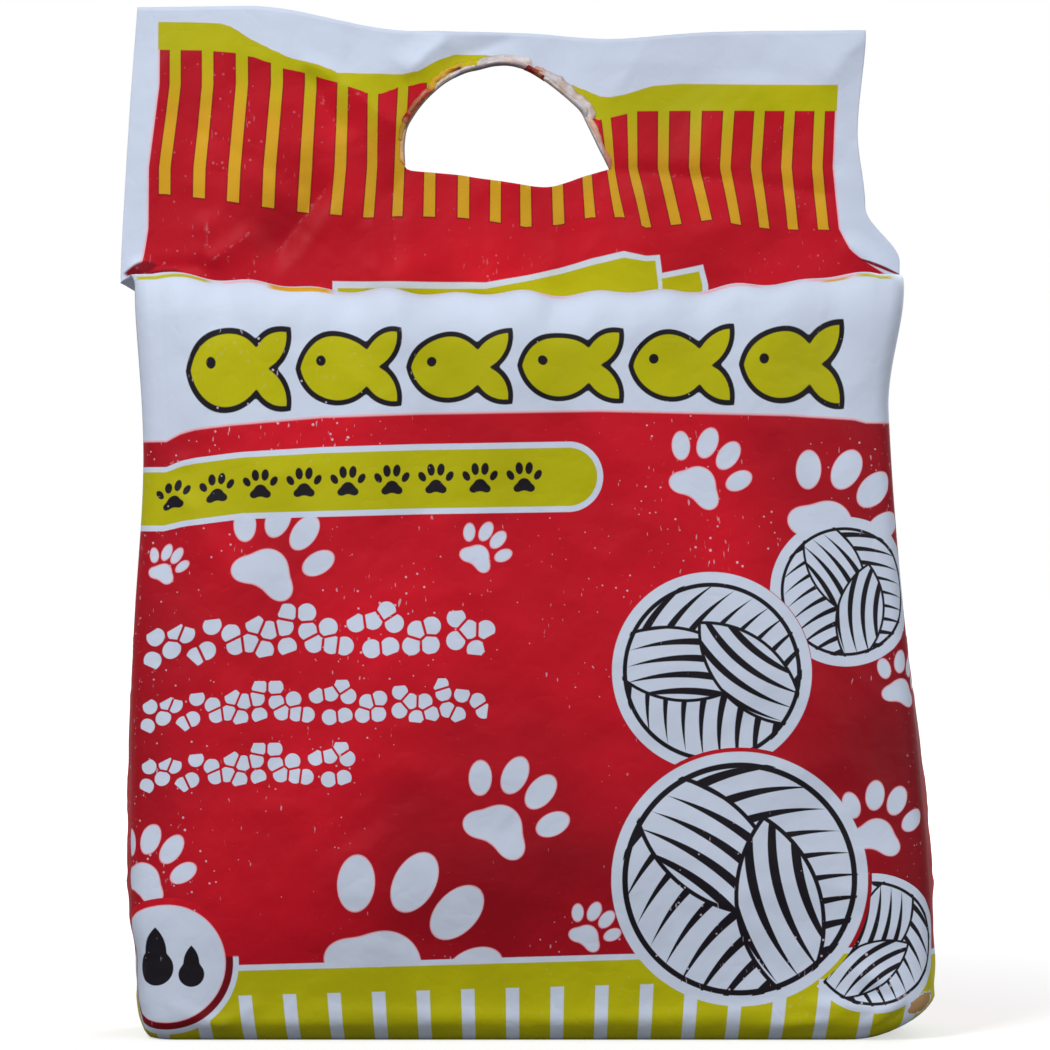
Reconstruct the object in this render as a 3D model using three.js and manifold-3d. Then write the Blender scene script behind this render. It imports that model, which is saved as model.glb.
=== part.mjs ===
// Litter bag: a printed multi-ply paper sack with side gussets and a flat block bottom,
// filled, closed at the top into a flat header, with a hand hole punched through the header.
// The sealed sack and its fill are one closed solid, lofted from closed rings of the paper.
// Millimetres, +Z up, front panel facing -Y, origin at the middle of the base.

import * as THREE from 'three';
import { mergeVertices } from 'three/addons/utils/BufferGeometryUtils.js';
import Module from 'manifold-3d';

const wasm = await Module();
wasm.setup();

// The filled body
const PANEL_WIDTH = 283; // the front panel, crease to crease
const SIDE_DEPTH = 60; // a side panel, crease to crease
const FRONT_CROWN = 10; // how far the fill pushes the front panel out at its middle
const BACK_CROWN = 8; // the same at the back, which is packed flatter
const SHOULDER_HEIGHT = 266.5; // the middle of the ridge where the panels turn over the fill
const SHOULDER_DEPTH = 26; // how far below that ridge the panels start to turn
const SHOULDER_HORN = 8; // the ridge climbs towards the two corners
const CORNER_RADIUS = 9; // the four upright edges
const CORNER_DROOP = 3; // the ridge falls off again at the very corners

// The block bottom
const BASE_EDGE_RADIUS = 4; // where the panels turn under
const BASE_INSET = 2.5; // how far the base's flat face stays inside the sides
const FILL_HEIGHT = 70; // from here up, the fill pushes the panels out fully
const DOG_EAR_WIDTH = 20; // the crushed corner at the lower right of the front
const DOG_EAR_HEIGHT = 14;
const DOG_EAR_BACK_SHARE = 0.5; // the same corner at the back is crushed less
const LEFT_TUCK = 3; // the lower left edge is tucked in
const LEFT_TUCK_HEIGHT = 44;
const LEFT_CORNER_CRUSH = 2; // and its corner hardly crushed

// The sealed header
const HEADER_RISE = 105.5; // from the ridge's middle to the top edge, at the left
const HEADER_DROP = 9; // the right part of the top edge is lower by this
const HEADER_DIP = 2.4; // a shallow dip in that part, beside the hand hole
const HEADER_THICKNESS = 2.6; // front panel, both gusset plies and back panel
const HEADER_SPREAD = 6; // at its left foot the flat header is wider than the rounded body
const HEADER_TAPER = 6; // and narrows by this much to the top
const HEADER_STEP = 12.5; // its right edge steps in above the shoulder
const HEADER_STEP_FOOT = 9; // the step begins and ends at these heights above the ridge
const HEADER_STEP_TOP = 32;
const HEADER_WAIST = 2.8; // the right edge draws in a little further and opens again
const HEADER_SETBACK = 5; // the header stands behind the middle of the base
const VALLEY_DROP = 6; // the header's foot lies this far below the ridge in front of it

// The hand hole and its rolled-up flap
const HOLE_RADIUS = 36; // the round top of the hole
const HOLE_SAG = 8; // how far its lower edge bows down
const HOLE_CENTRE_RISE = 48; // from the ridge's middle to the middle of the arc
const HOLE_OFFSET = -8.5; // from the middle of the bag to the middle of the hole
const LIP_RADIUS = 1.7; // the flap's paper, rolled up along the arc
const LIP_SEAT = 1.4; // the roll's middle lies this far outside the hole's edge
const LIP_PROUD = 0.9; // and this far in front of the header's middle

// The fill's slump, dents and folds
const RIGHT_BELLY = 3.5; // the right side bulges past the panel width near the base
const RIGHT_BELLY_HEIGHT = 40;
const RIGHT_WAIST = 15.5; // and draws in by this much below the shoulder
const RIGHT_WAIST_HEIGHT = 222;
const RIGHT_RECOVERY = 6; // above the waist it opens out again by this much
const LEFT_PINCH = 4.4; // the left side is pinched in
const LEFT_PINCH_HEIGHT = 205;
const PINCH_REACH = 48; // half the height over which the pinch fades out
const PINCH_CREASE_REACH = 12; // half the height of the crease that it presses in the panel
const RIDGE_FOLD = 1.6; // small folds along the ridge
const RIDGE_FOLD_PITCH = 27;
const PANEL_FOLD = 1.5; // soft folds running down from the ridge
const PANEL_FOLD_PITCH = 44;
const PANEL_FOLD_LENGTH = 75;
const FACET_DENT = 4; // the flat dent near the right shoulder
const FACET_HEIGHT = 244;
const FACET_REACH = 24;
const GUSSET_FOLD = 20; // how deep the side panel folds in under the shoulder
const GUSSET_START_HEIGHT = 150; // where that fold begins
const GUSSET_BULGE = 1.6; // below it, the fill pushes the side panel out
const HEADER_WAVE = 3.4; // the header's slow wave from side to side
const HEADER_WAVE_LENGTH = 190;
const HEADER_FOLD = 2.6; // upright folds between the hand hole and the shoulder
const HEADER_FOLD_REACH = 9;
const HEADER_FOLD_OFFSETS = [-39, -8]; // from the middle of the hand hole

// How finely the paper is divided
const FRONT_STEPS = 36;
const SIDE_STEPS = 4; // from a side panel's centre crease to its edge
const CORNER_STEPS = 3;
const BODY_STEPS = 15;
const SHOULDER_STEPS = 9;
const HEADER_STEPS = 14;
const ARC_STEPS = 28;

// Sizes that follow from the driving ones
const HALF_WIDTH = PANEL_WIDTH / 2;
const HALF_SIDE = SIDE_DEPTH / 2;
const HALF_HEADER = HEADER_THICKNESS / 2;
const BODY_TOP = SHOULDER_HEIGHT - SHOULDER_DEPTH;
const HOLE_CENTRE_HEIGHT = SHOULDER_HEIGHT + HOLE_CENTRE_RISE;

const mix = (from, to, share) => from + (to - from) * share;
const clamp = (value) => Math.min(1, Math.max(0, value));
const ramp = (from, to, at) => clamp((at - from) / (to - from));
const ease = (from, to, at) => ramp(from, to, at) ** 2 * (3 - 2 * ramp(from, to, at));
const bump = (at, centre, reach) => Math.exp(-(((at - centre) / reach) ** 2));
const wave = (at, length, start) => Math.sin((2 * Math.PI * at) / length + start);

// The body's two upright edges as seen from the front, at a given height
function leftEdge(height) {
  const pinch = LEFT_PINCH * bump(height, LEFT_PINCH_HEIGHT, PINCH_REACH);
  const tuck = LEFT_TUCK * (1 - ease(0.6 * LEFT_TUCK_HEIGHT, LEFT_TUCK_HEIGHT, height));
  const crush = LEFT_CORNER_CRUSH * (1 - ramp(0, DOG_EAR_HEIGHT, height));
  return -HALF_WIDTH + pinch + tuck + crush;
}

function rightEdge(height) {
  const slope = ramp(RIGHT_BELLY_HEIGHT, RIGHT_WAIST_HEIGHT, height);
  const slump = ease(RIGHT_BELLY_HEIGHT, RIGHT_WAIST_HEIGHT, height);
  const drawnIn = RIGHT_WAIST * mix(slope, slump, 0.5);
  const openedOut = RIGHT_RECOVERY * ease(RIGHT_WAIST_HEIGHT, SHOULDER_HEIGHT, height);
  return HALF_WIDTH + RIGHT_BELLY - drawnIn + openedOut;
}

function dogEar(height) {
  return DOG_EAR_WIDTH * (1 - ramp(0, DOG_EAR_HEIGHT, height)) ** 1.6;
}

// The header's two side edges and its top edge
function headerLeft(rise) {
  const foot = -HALF_WIDTH - HEADER_SPREAD;
  return foot + HEADER_TAPER * ramp(0, HEADER_RISE, rise) ** 1.3;
}

function headerRight(rise) {
  const steppedIn = HEADER_STEP * ease(HEADER_STEP_FOOT, HEADER_STEP_TOP, rise);
  const waistRise = 0.6 * HEADER_RISE;
  const drawnIn = ease(HEADER_STEP_TOP, waistRise, rise) - ease(waistRise, HEADER_RISE, rise);
  return rightEdge(SHOULDER_HEIGHT) - steppedIn - HEADER_WAIST * drawnIn;
}

function topEdge(across) {
  const drop = HEADER_DROP * ease(-0.7, -0.24, across);
  const dip = HEADER_DIP * bump(across, 0.3, 0.18);
  return SHOULDER_HEIGHT + HEADER_RISE - drop - dip;
}

// How far the ridge climbs at a place across the bag; across runs from -1 to 1
function ridgeClimb(across) {
  return SHOULDER_HORN * Math.abs(across) ** 2.4 - CORNER_DROOP * across ** 20;
}

function valleyDrop(across) {
  return VALLEY_DROP * (1 - across ** 6);
}

function ridgeFold(across) {
  const x = across * HALF_WIDTH;
  const fine = wave(x, RIDGE_FOLD_PITCH, 0.8);
  const broad = wave(x, 1.7 * RIDGE_FOLD_PITCH, 2.1);
  return RIDGE_FOLD * mix(fine, broad, 0.4) * (1 - across ** 8);
}

// The header's middle surface: a slow wave, and folds under the hand hole
function headerMiddle(x, rise) {
  const swing = HEADER_WAVE * ramp(0, HEADER_RISE, rise) * wave(x, HEADER_WAVE_LENGTH, 0.9);
  const grown = ease(-VALLEY_DROP, VALLEY_DROP, rise) - ease(0, HOLE_CENTRE_RISE, rise);
  const folds = HEADER_FOLD_OFFSETS.map((offset) => bump(x, HOLE_OFFSET + offset, HEADER_FOLD_REACH));
  const pressed = folds.reduce((sum, fold) => sum + fold, 0);
  return HEADER_SETBACK + swing - HEADER_FOLD * Math.max(0, grown) * pressed;
}

// Relief that folds and dents press into the front panel
function frontRelief(x, height, across) {
  const fading = bump(height, SHOULDER_HEIGHT, PANEL_FOLD_LENGTH / 2);
  const folds = PANEL_FOLD * fading * wave(x, PANEL_FOLD_PITCH, 1.3);
  const facetX = rightEdge(FACET_HEIGHT) - FACET_REACH / 2;
  const facet = FACET_DENT * bump(x, facetX, FACET_REACH) * bump(height, FACET_HEIGHT, FACET_REACH);
  const pinchSide = bump(x, leftEdge(LEFT_PINCH_HEIGHT), PINCH_REACH / 2);
  const pinch = LEFT_PINCH * pinchSide * bump(height, LEFT_PINCH_HEIGHT, PINCH_CREASE_REACH);
  return (folds - facet - pinch) * (1 - across ** 6);
}

// One closed ring of the paper: from the middle of the left side round the front to the
// middle of the right side, and the same points mirrored for the back. Each point says
// how far across the panel it lies, and how near it is to a side panel's centre crease.
function ringPoints({ left, right, halfDepth, radius, gusset }) {
  const sidePoint = (edge, outward, share) => ({
    x: edge - outward * gusset * (1 - share ** 2),
    y: -(halfDepth - radius) * share,
    across: outward,
    side: 1 - share,
  });
  const cornerPoint = (edge, outward, share) => {
    const turn = share * (Math.PI / 2);
    const x = edge - outward * radius * (1 - Math.cos(turn));
    return { x, y: radius - halfDepth - radius * Math.sin(turn), across: outward, side: 0 };
  };
  const half = [];
  for (let step = 0; step < SIDE_STEPS; step += 1) half.push(sidePoint(left, -1, step / SIDE_STEPS));
  for (let step = 0; step < CORNER_STEPS; step += 1) half.push(cornerPoint(left, -1, step / CORNER_STEPS));
  for (let step = 0; step <= FRONT_STEPS; step += 1) {
    const share = step / FRONT_STEPS;
    const x = mix(left + radius, right - radius, share);
    half.push({ x, y: -halfDepth, across: 2 * share - 1, side: 0 });
  }
  for (let step = CORNER_STEPS - 1; step >= 0; step -= 1) {
    half.push(cornerPoint(right, 1, step / CORNER_STEPS));
  }
  for (let step = SIDE_STEPS - 1; step >= 0; step -= 1) half.push(sidePoint(right, 1, step / SIDE_STEPS));
  const mirrored = half.slice(1, -1).reverse().map((point) => ({ ...point, y: -point.y }));
  return [...half, ...mirrored];
}

// How far the fill pushes a panel out at a place across it, and its folds
function panelRelief({ x, y, across }, height, filled) {
  const front = y < 0;
  const crown = (front ? FRONT_CROWN : BACK_CROWN) * (1 - across ** 2);
  const relief = front ? frontRelief(x, height, across) : 0;
  return Math.sign(y) * (crown + relief) * filled;
}

// A ring of the body, between the flat base and where the panels start to turn over
function bodyRing(height) {
  const turnedUnder = 1 - ramp(0, BASE_EDGE_RADIUS, height);
  const inset = BASE_INSET * (1 - Math.sqrt(1 - turnedUnder ** 2));
  const filled = ease(0, FILL_HEIGHT, height);
  const foldedIn = GUSSET_FOLD * ease(GUSSET_START_HEIGHT, SHOULDER_HEIGHT, height);
  const bulge = GUSSET_BULGE * (1 - ease(FILL_HEIGHT, GUSSET_START_HEIGHT, height));
  const climb = ease(RIGHT_WAIST_HEIGHT - FILL_HEIGHT, BODY_TOP, height);
  const section = {
    left: leftEdge(height) + inset,
    right: rightEdge(height) - inset - dogEar(height),
    halfDepth: HALF_SIDE - inset,
    radius: CORNER_RADIUS,
    gusset: foldedIn - bulge,
  };
  return ringPoints(section).map((point) => {
    const spared = point.across > 0 ? ease(0, HALF_SIDE, point.y) * point.across : 0;
    const unfolded = (1 - DOG_EAR_BACK_SHARE) * dogEar(height) * spared;
    const lift = ridgeClimb(point.across) * climb * (1 - point.side);
    const depth = point.y + panelRelief(point, height, filled);
    return new THREE.Vector3(point.x + unfolded, depth, height + lift);
  });
}

// The way over the shoulder, seen from the side: first the share of the half depth that is
// left, then the height above the ridge. It ends in the valley at the header's foot.
const shoulderPath = new THREE.SplineCurve([
  new THREE.Vector2(1, -SHOULDER_DEPTH),
  new THREE.Vector2(0.98, -0.45 * SHOULDER_DEPTH),
  new THREE.Vector2(0.86, -0.1 * SHOULDER_DEPTH),
  new THREE.Vector2(0.62, 0),
  new THREE.Vector2(0.3, -0.5 * VALLEY_DROP),
  new THREE.Vector2(0, -VALLEY_DROP),
]);

// A ring of the shoulder: the panels go over the ridge while the gussets fold shut
function shoulderRing(share) {
  const over = shoulderPath.getPoint(share);
  const height = SHOULDER_HEIGHT + over.y;
  const gathered = ease(0.35, 1, share);
  const halfDepth = mix(HALF_HEADER, HALF_SIDE, over.x);
  const ragged = Math.sin(Math.PI * clamp(1.15 * share)) ** 2;
  const section = {
    left: mix(leftEdge(height), headerLeft(0), gathered),
    right: mix(rightEdge(height), headerRight(0), gathered),
    halfDepth,
    radius: Math.min(CORNER_RADIUS, 0.6 * halfDepth),
    gusset: GUSSET_FOLD * ease(GUSSET_START_HEIGHT, SHOULDER_HEIGHT, BODY_TOP) * (1 - gathered),
  };
  return ringPoints(section).map((point) => {
    const open = point.side * (1 - gathered);
    const fold = ridgeFold(point.across) * ragged;
    const sunk = 0.4 * open * (height - BODY_TOP);
    const shallow = (VALLEY_DROP - valleyDrop(point.across)) * (1 - over.x);
    const lift = (ridgeClimb(point.across) + shallow) * (1 - open) + fold - sunk;
    const middle = mix(headerMiddle(point.x, -VALLEY_DROP), 0, over.x);
    const depth = point.y + panelRelief(point, height, over.x) + Math.sign(point.y) * fold / 2;
    return new THREE.Vector3(point.x, middle + depth, height + lift);
  });
}

// A ring of the header, a thin waved sheet up to the slanting top edge
function headerRing(share) {
  const section = {
    left: headerLeft(share * HEADER_RISE),
    right: headerRight(share * HEADER_RISE),
    halfDepth: HALF_HEADER,
    radius: 0.6 * HALF_HEADER,
    gusset: 0,
  };
  return ringPoints(section).map(({ x, y, across }) => {
    const foot = SHOULDER_HEIGHT + ridgeClimb(across) - valleyDrop(across);
    const height = mix(foot, topEdge(across), share);
    return new THREE.Vector3(x, headerMiddle(x, height - SHOULDER_HEIGHT) + y, height);
  });
}

function allRings() {
  const rings = [0, 0.25, 0.6, 1].map((share) => bodyRing(share * BASE_EDGE_RADIUS));
  for (let step = 0; step <= BODY_STEPS; step += 1) {
    rings.push(bodyRing(mix(DOG_EAR_HEIGHT, BODY_TOP, step / BODY_STEPS)));
  }
  for (let step = 1; step <= SHOULDER_STEPS; step += 1) rings.push(shoulderRing(step / SHOULDER_STEPS));
  for (let step = 1; step <= HEADER_STEPS; step += 1) rings.push(headerRing(step / HEADER_STEPS));
  return rings;
}

// The closed skin through all the rings, with a flat base and a closed top edge
function loftedSack() {
  const rings = allRings();
  const count = rings[0].length;
  const positions = rings.flat().flatMap((point) => point.toArray());
  const faces = [];
  const quad = (a, b, c, d) => faces.push(a, b, c, a, c, d);
  for (let level = 0; level < rings.length - 1; level += 1) {
    for (let at = 0; at < count; at += 1) {
      const next = (at + 1) % count;
      const lower = level * count;
      const upper = lower + count;
      quad(lower + at, lower + next, upper + next, upper + at);
    }
  }
  const baseMiddle = positions.length / 3;
  positions.push(0, 0, 0);
  for (let at = 0; at < count; at += 1) faces.push(baseMiddle, (at + 1) % count, at);
  const top = (rings.length - 1) * count;
  faces.push(top, top + 1, top + count - 1);
  for (let at = 1; at < count / 2 - 1; at += 1) {
    quad(top + at, top + at + 1, top + count - at - 1, top + count - at);
  }
  faces.push(top + count / 2 - 1, top + count / 2, top + count / 2 + 1);
  const geometry = new THREE.BufferGeometry();
  geometry.setAttribute('position', new THREE.Float32BufferAttribute(positions, 3));
  geometry.setIndex(faces);
  return geometry;
}

// The punch for the hand hole: a round top over a lower edge that bows down
function handHolePunch() {
  const start = HOLE_OFFSET + HOLE_RADIUS;
  const reach = HOLE_RADIUS / 2;
  const low = HOLE_CENTRE_HEIGHT - (4 / 3) * HOLE_SAG;
  const outline = new THREE.Shape();
  outline.moveTo(start, HOLE_CENTRE_HEIGHT);
  outline.absarc(HOLE_OFFSET, HOLE_CENTRE_HEIGHT, HOLE_RADIUS, 0, Math.PI, false);
  outline.bezierCurveTo(HOLE_OFFSET - reach, low, HOLE_OFFSET + reach, low, start, HOLE_CENTRE_HEIGHT);
  const options = { depth: SIDE_DEPTH, bevelEnabled: false, curveSegments: ARC_STEPS };
  const punch = new THREE.ExtrudeGeometry(outline, options);
  punch.rotateX(Math.PI / 2);
  punch.translate(0, SIDE_DEPTH / 2, 0);
  return punch;
}

// The flap of the hand hole, rolled up along the arc as a thin roll of paper
function rolledFlap() {
  const points = [];
  for (let step = 0; step <= ARC_STEPS / 2; step += 1) {
    const turn = (step / (ARC_STEPS / 2)) * Math.PI;
    const x = HOLE_OFFSET + (HOLE_RADIUS + LIP_SEAT) * Math.cos(turn);
    const rise = HOLE_CENTRE_RISE + (HOLE_RADIUS + LIP_SEAT) * Math.sin(turn);
    points.push(new THREE.Vector3(x, headerMiddle(x, rise) - LIP_PROUD, SHOULDER_HEIGHT + rise));
  }
  const path = new THREE.CatmullRomCurve3(points);
  const section = new THREE.Shape();
  section.absarc(0, 0, LIP_RADIUS, 0, 2 * Math.PI, false);
  return new THREE.ExtrudeGeometry(section, { steps: ARC_STEPS, extrudePath: path, curveSegments: 4 });
}

function solidOf(geometry) {
  const bare = geometry.clone();
  bare.deleteAttribute('normal');
  bare.deleteAttribute('uv');
  const merged = mergeVertices(bare, 1e-4);
  const vertProperties = new Float32Array(merged.attributes.position.array);
  const triVerts = new Uint32Array(merged.index.array);
  return new wasm.Manifold(new wasm.Mesh({ numProp: 3, vertProperties, triVerts }));
}

function geometryOf(solid) {
  const mesh = solid.getMesh();
  const geometry = new THREE.BufferGeometry();
  geometry.setAttribute('position', new THREE.BufferAttribute(mesh.vertProperties, 3));
  geometry.setIndex(new THREE.BufferAttribute(mesh.triVerts, 1));
  geometry.computeVertexNormals();
  return geometry;
}

const printedPaper = new THREE.MeshStandardMaterial({ color: 0xc8152a, roughness: 0.55, metalness: 0 });

const punchedSack = solidOf(loftedSack()).subtract(solidOf(handHolePunch()));
const bagSolid = punchedSack.add(solidOf(rolledFlap()));

// The origin goes to the middle of the bag's own box, on the surface that it stands on
function centredOnBase(geometry) {
  geometry.computeBoundingBox();
  const middle = geometry.boundingBox.getCenter(new THREE.Vector3());
  return geometry.translate(-middle.x, -middle.y, 0);
}

const litterBag = new THREE.Mesh(centredOnBase(geometryOf(bagSolid)), printedPaper);
litterBag.name = 'litter_bag';

const bag = new THREE.Group();
bag.add(litterBag);

export default bag;
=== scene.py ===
# %% [markdown]
# A filled litter bag: a sack of three plies of paper, printed, with side gussets and a block
# bottom. Its top is pressed flat into a header with a hand hole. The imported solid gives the
# place and the size. This script makes the same skin again with far more points, so that the
# small folds are real geometry, and then prints it with shader nodes.

# %% The frame
import math

import bpy
import numpy as np
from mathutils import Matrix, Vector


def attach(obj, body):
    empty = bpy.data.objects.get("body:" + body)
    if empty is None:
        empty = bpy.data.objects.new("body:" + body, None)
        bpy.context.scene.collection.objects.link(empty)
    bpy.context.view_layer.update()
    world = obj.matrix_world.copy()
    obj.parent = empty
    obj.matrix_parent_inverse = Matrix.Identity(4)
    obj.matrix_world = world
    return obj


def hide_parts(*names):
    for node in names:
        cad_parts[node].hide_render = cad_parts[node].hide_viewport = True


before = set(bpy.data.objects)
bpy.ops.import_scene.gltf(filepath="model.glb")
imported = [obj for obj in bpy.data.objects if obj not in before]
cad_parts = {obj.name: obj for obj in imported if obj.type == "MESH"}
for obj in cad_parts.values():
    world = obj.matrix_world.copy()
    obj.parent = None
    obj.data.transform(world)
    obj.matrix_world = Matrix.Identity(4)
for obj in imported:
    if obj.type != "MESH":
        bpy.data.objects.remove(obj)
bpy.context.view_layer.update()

MM = 0.001

# %% [markdown]
# Folded paper is easy to describe with a few curves that work on whole arrays at once. A ramp
# goes straight from 0 to 1, an ease does so with soft ends, a bump is a smooth hill and a wave
# repeats. All the form below is sums of these.


# %% Curves
def ramp(start, end, at):
    return np.clip((at - start) / (end - start), 0, 1)


def ease(start, end, at):
    share = ramp(start, end, at)
    return share * share * (3 - 2 * share)


def bump(at, centre, reach):
    return np.exp(-(((at - centre) / reach) ** 2))


def wave(at, length, start):
    return np.sin(2 * np.pi * at / length + start)


def mix(a, b, share):
    return a + (b - a) * share


print("ease from 0 to 1", ease(0, 1, np.linspace(0, 1, 5)))


# %% [markdown]
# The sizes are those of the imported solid, in millimetres, so the skin lies where the solid is.
# Two are extra, because the solid leaves them out: the thin line of the gusset's crease, and how
# far the foot is tucked in where the paper turns under the fill.

# %% Sizes of the sack
PANEL_WIDTH, SIDE_DEPTH = 283, 60
FRONT_CROWN, BACK_CROWN = 10, 8
SHOULDER_HEIGHT, SHOULDER_DEPTH, SHOULDER_HORN = 266.5, 26, 8
CORNER_RADIUS, CORNER_DROOP = 9, 3
BASE_EDGE_RADIUS, BASE_INSET, FILL_HEIGHT = 4, 2.5, 70
DOG_EAR_WIDTH, DOG_EAR_HEIGHT, DOG_EAR_BACK_SHARE = 20, 14, 0.5
LEFT_TUCK, LEFT_TUCK_HEIGHT, LEFT_CORNER_CRUSH = 3, 44, 2
RIGHT_BELLY, RIGHT_BELLY_HEIGHT = 3.5, 40
RIGHT_WAIST, RIGHT_WAIST_HEIGHT, RIGHT_RECOVERY = 15.5, 222, 6
LEFT_PINCH, LEFT_PINCH_HEIGHT, PINCH_REACH, PINCH_CREASE_REACH = 4.4, 205, 48, 12
RIDGE_FOLD, RIDGE_FOLD_PITCH = 1.6, 27
PANEL_FOLD, PANEL_FOLD_PITCH, PANEL_FOLD_LENGTH = 1.5, 44, 75
FACET_DENT, FACET_HEIGHT, FACET_REACH = 4, 244, 24
GUSSET_FOLD, GUSSET_START_HEIGHT, GUSSET_BULGE = 20, 150, 1.6
GUSSET_LINE = 1.0
FOOT_TUCK, FOOT_TUCK_HEIGHT = 3.6, 6.4
print("paper round the body", 2 * (PANEL_WIDTH + SIDE_DEPTH), "mm")

# %% Sizes of the header and its hand hole
HEADER_RISE, HEADER_DROP, HEADER_DIP = 105.5, 9, 2.4
HEADER_THICKNESS = 1.8
HEADER_SPREAD, HEADER_TAPER = 6, 6
HEADER_STEP, HEADER_STEP_FOOT, HEADER_STEP_TOP = 12.5, 9, 32
HEADER_WAIST, HEADER_SETBACK, VALLEY_DROP = 2.8, 5, 6
HEADER_WAVE, HEADER_WAVE_LENGTH = 3.4, 190
HEADER_FOLD, HEADER_FOLD_REACH = 2.6, 9
HEADER_FOLD_OFFSETS = (-39, -8)
HOLE_CENTRE_RISE, HOLE_OFFSET = 48, -8.5

HALF_WIDTH, HALF_SIDE, HALF_HEADER = PANEL_WIDTH / 2, SIDE_DEPTH / 2, HEADER_THICKNESS / 2
BODY_TOP = SHOULDER_HEIGHT - SHOULDER_DEPTH
print("body to", BODY_TOP, "shoulder to", SHOULDER_HEIGHT, "top at", SHOULDER_HEIGHT + HEADER_RISE)

# %% [markdown]
# The photograph was taken level, about 1.6 m in front of the bag. A place in it, in pixels,
# turns into a place on the bag once the distance is known, so prints and creases are set down
# below by where they are seen.

# %% From a place in the photograph to a place on the bag
VIEW_DISTANCE = 1600
PIXEL = 0.3625
PIXEL_MIDDLE = (526.5, 516)
VIEW_HEIGHT = 187
PANEL_PLACE, HEADER_PLACE = -37, 5


def seen(px, py, depth=PANEL_PLACE):
    """The place across and up the bag, in mm, of a pixel that shows a surface at that depth."""
    scale = PIXEL * (VIEW_DISTANCE + depth) / VIEW_DISTANCE
    across = (np.asarray(px, float) - PIXEL_MIDDLE[0]) * scale
    up = VIEW_HEIGHT + (PIXEL_MIDDLE[1] - np.asarray(py, float)) * scale
    return across, up


def track(points, depth):
    """Places across and heights of a line through pixels given as x, y, x, y and so on."""
    return seen(points[0::2], points[1::2], depth)


print("the axis of the view meets the panel at", [float(place) for place in seen(*PIXEL_MIDDLE)])


# %% [markdown]
# The two upright edges aren't straight: the fill has slumped to the lower right, and the left
# side is pinched. The header's outline and the ridge over the fill have their own curves.


# %% Outlines
def left_edge(height):
    pinch = LEFT_PINCH * bump(height, LEFT_PINCH_HEIGHT, PINCH_REACH)
    tuck = LEFT_TUCK * (1 - ease(0.6 * LEFT_TUCK_HEIGHT, LEFT_TUCK_HEIGHT, height))
    return -HALF_WIDTH + pinch + tuck + LEFT_CORNER_CRUSH * (1 - ramp(0, DOG_EAR_HEIGHT, height))


def right_edge(height):
    slope = ramp(RIGHT_BELLY_HEIGHT, RIGHT_WAIST_HEIGHT, height)
    slump = ease(RIGHT_BELLY_HEIGHT, RIGHT_WAIST_HEIGHT, height)
    opened_out = RIGHT_RECOVERY * ease(RIGHT_WAIST_HEIGHT, SHOULDER_HEIGHT, height)
    return HALF_WIDTH + RIGHT_BELLY - RIGHT_WAIST * mix(slope, slump, 0.5) + opened_out


def dog_ear(height):
    return DOG_EAR_WIDTH * (1 - ramp(0, DOG_EAR_HEIGHT, height)) ** 1.6


def header_left(rise):
    return -HALF_WIDTH - HEADER_SPREAD + HEADER_TAPER * ramp(0, HEADER_RISE, rise) ** 1.3


def header_right(rise):
    waist = 0.6 * HEADER_RISE
    drawn_in = ease(HEADER_STEP_TOP, waist, rise) - ease(waist, HEADER_RISE, rise)
    stepped_in = HEADER_STEP * ease(HEADER_STEP_FOOT, HEADER_STEP_TOP, rise)
    return right_edge(SHOULDER_HEIGHT) - stepped_in - HEADER_WAIST * drawn_in


def top_edge(across):
    drop = HEADER_DROP * ease(-0.7, -0.24, across)
    return SHOULDER_HEIGHT + HEADER_RISE - drop - HEADER_DIP * bump(across, 0.3, 0.18)


def ridge_climb(across):
    return SHOULDER_HORN * np.abs(across) ** 2.4 - CORNER_DROOP * across**20


def valley_drop(across):
    return VALLEY_DROP * (1 - across**6)


print("width at the foot", round(float(right_edge(0) - left_edge(0)), 1), "mm")


# %% [markdown]
# Three kinds of broad fold are part of the form: the ragged ridge over the fill, the wave of the
# flat header, and the soft folds that hang from the shoulder. Waves and bumps describe them, as
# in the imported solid.


# %% Folds of the ridge, the header and the front
def ridge_fold(across):
    x = across * HALF_WIDTH
    fine = wave(x, RIDGE_FOLD_PITCH, 0.8)
    broad = wave(x, 1.7 * RIDGE_FOLD_PITCH, 2.1)
    return RIDGE_FOLD * mix(fine, broad, 0.4) * (1 - across**8)


def header_middle(x, rise):
    swing = HEADER_WAVE * ramp(0, HEADER_RISE, rise) * wave(x, HEADER_WAVE_LENGTH, 0.9)
    grown = ease(-VALLEY_DROP, VALLEY_DROP, rise) - ease(0, HOLE_CENTRE_RISE, rise)
    folds = [bump(x, HOLE_OFFSET + offset, HEADER_FOLD_REACH) for offset in HEADER_FOLD_OFFSETS]
    return HEADER_SETBACK + swing - HEADER_FOLD * np.maximum(0, grown) * sum(folds)


def front_relief(x, height, across):
    folds = PANEL_FOLD * bump(height, SHOULDER_HEIGHT, PANEL_FOLD_LENGTH / 2)
    folds = folds * wave(x, PANEL_FOLD_PITCH, 1.3)
    facet_x = right_edge(FACET_HEIGHT) - FACET_REACH / 2
    facet = FACET_DENT * bump(x, facet_x, FACET_REACH) * bump(height, FACET_HEIGHT, FACET_REACH)
    pinch_side = bump(x, left_edge(LEFT_PINCH_HEIGHT), PINCH_REACH / 2)
    pinch = LEFT_PINCH * pinch_side * bump(height, LEFT_PINCH_HEIGHT, PINCH_CREASE_REACH)
    return (folds - facet - pinch) * (1 - across**6)


print("ridge from", round(float(ridge_fold(np.linspace(-1, 1, 99)).min()), 2), "mm")


# %% [markdown]
# The skin is a loft: a stack of closed rings of paper. Half a ring runs from the crease in the
# middle of the left side, round its corner, over the panel, to the right side's crease. Each
# point is a weighted sum of the ring's own sizes, so one small table serves every ring.

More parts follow.
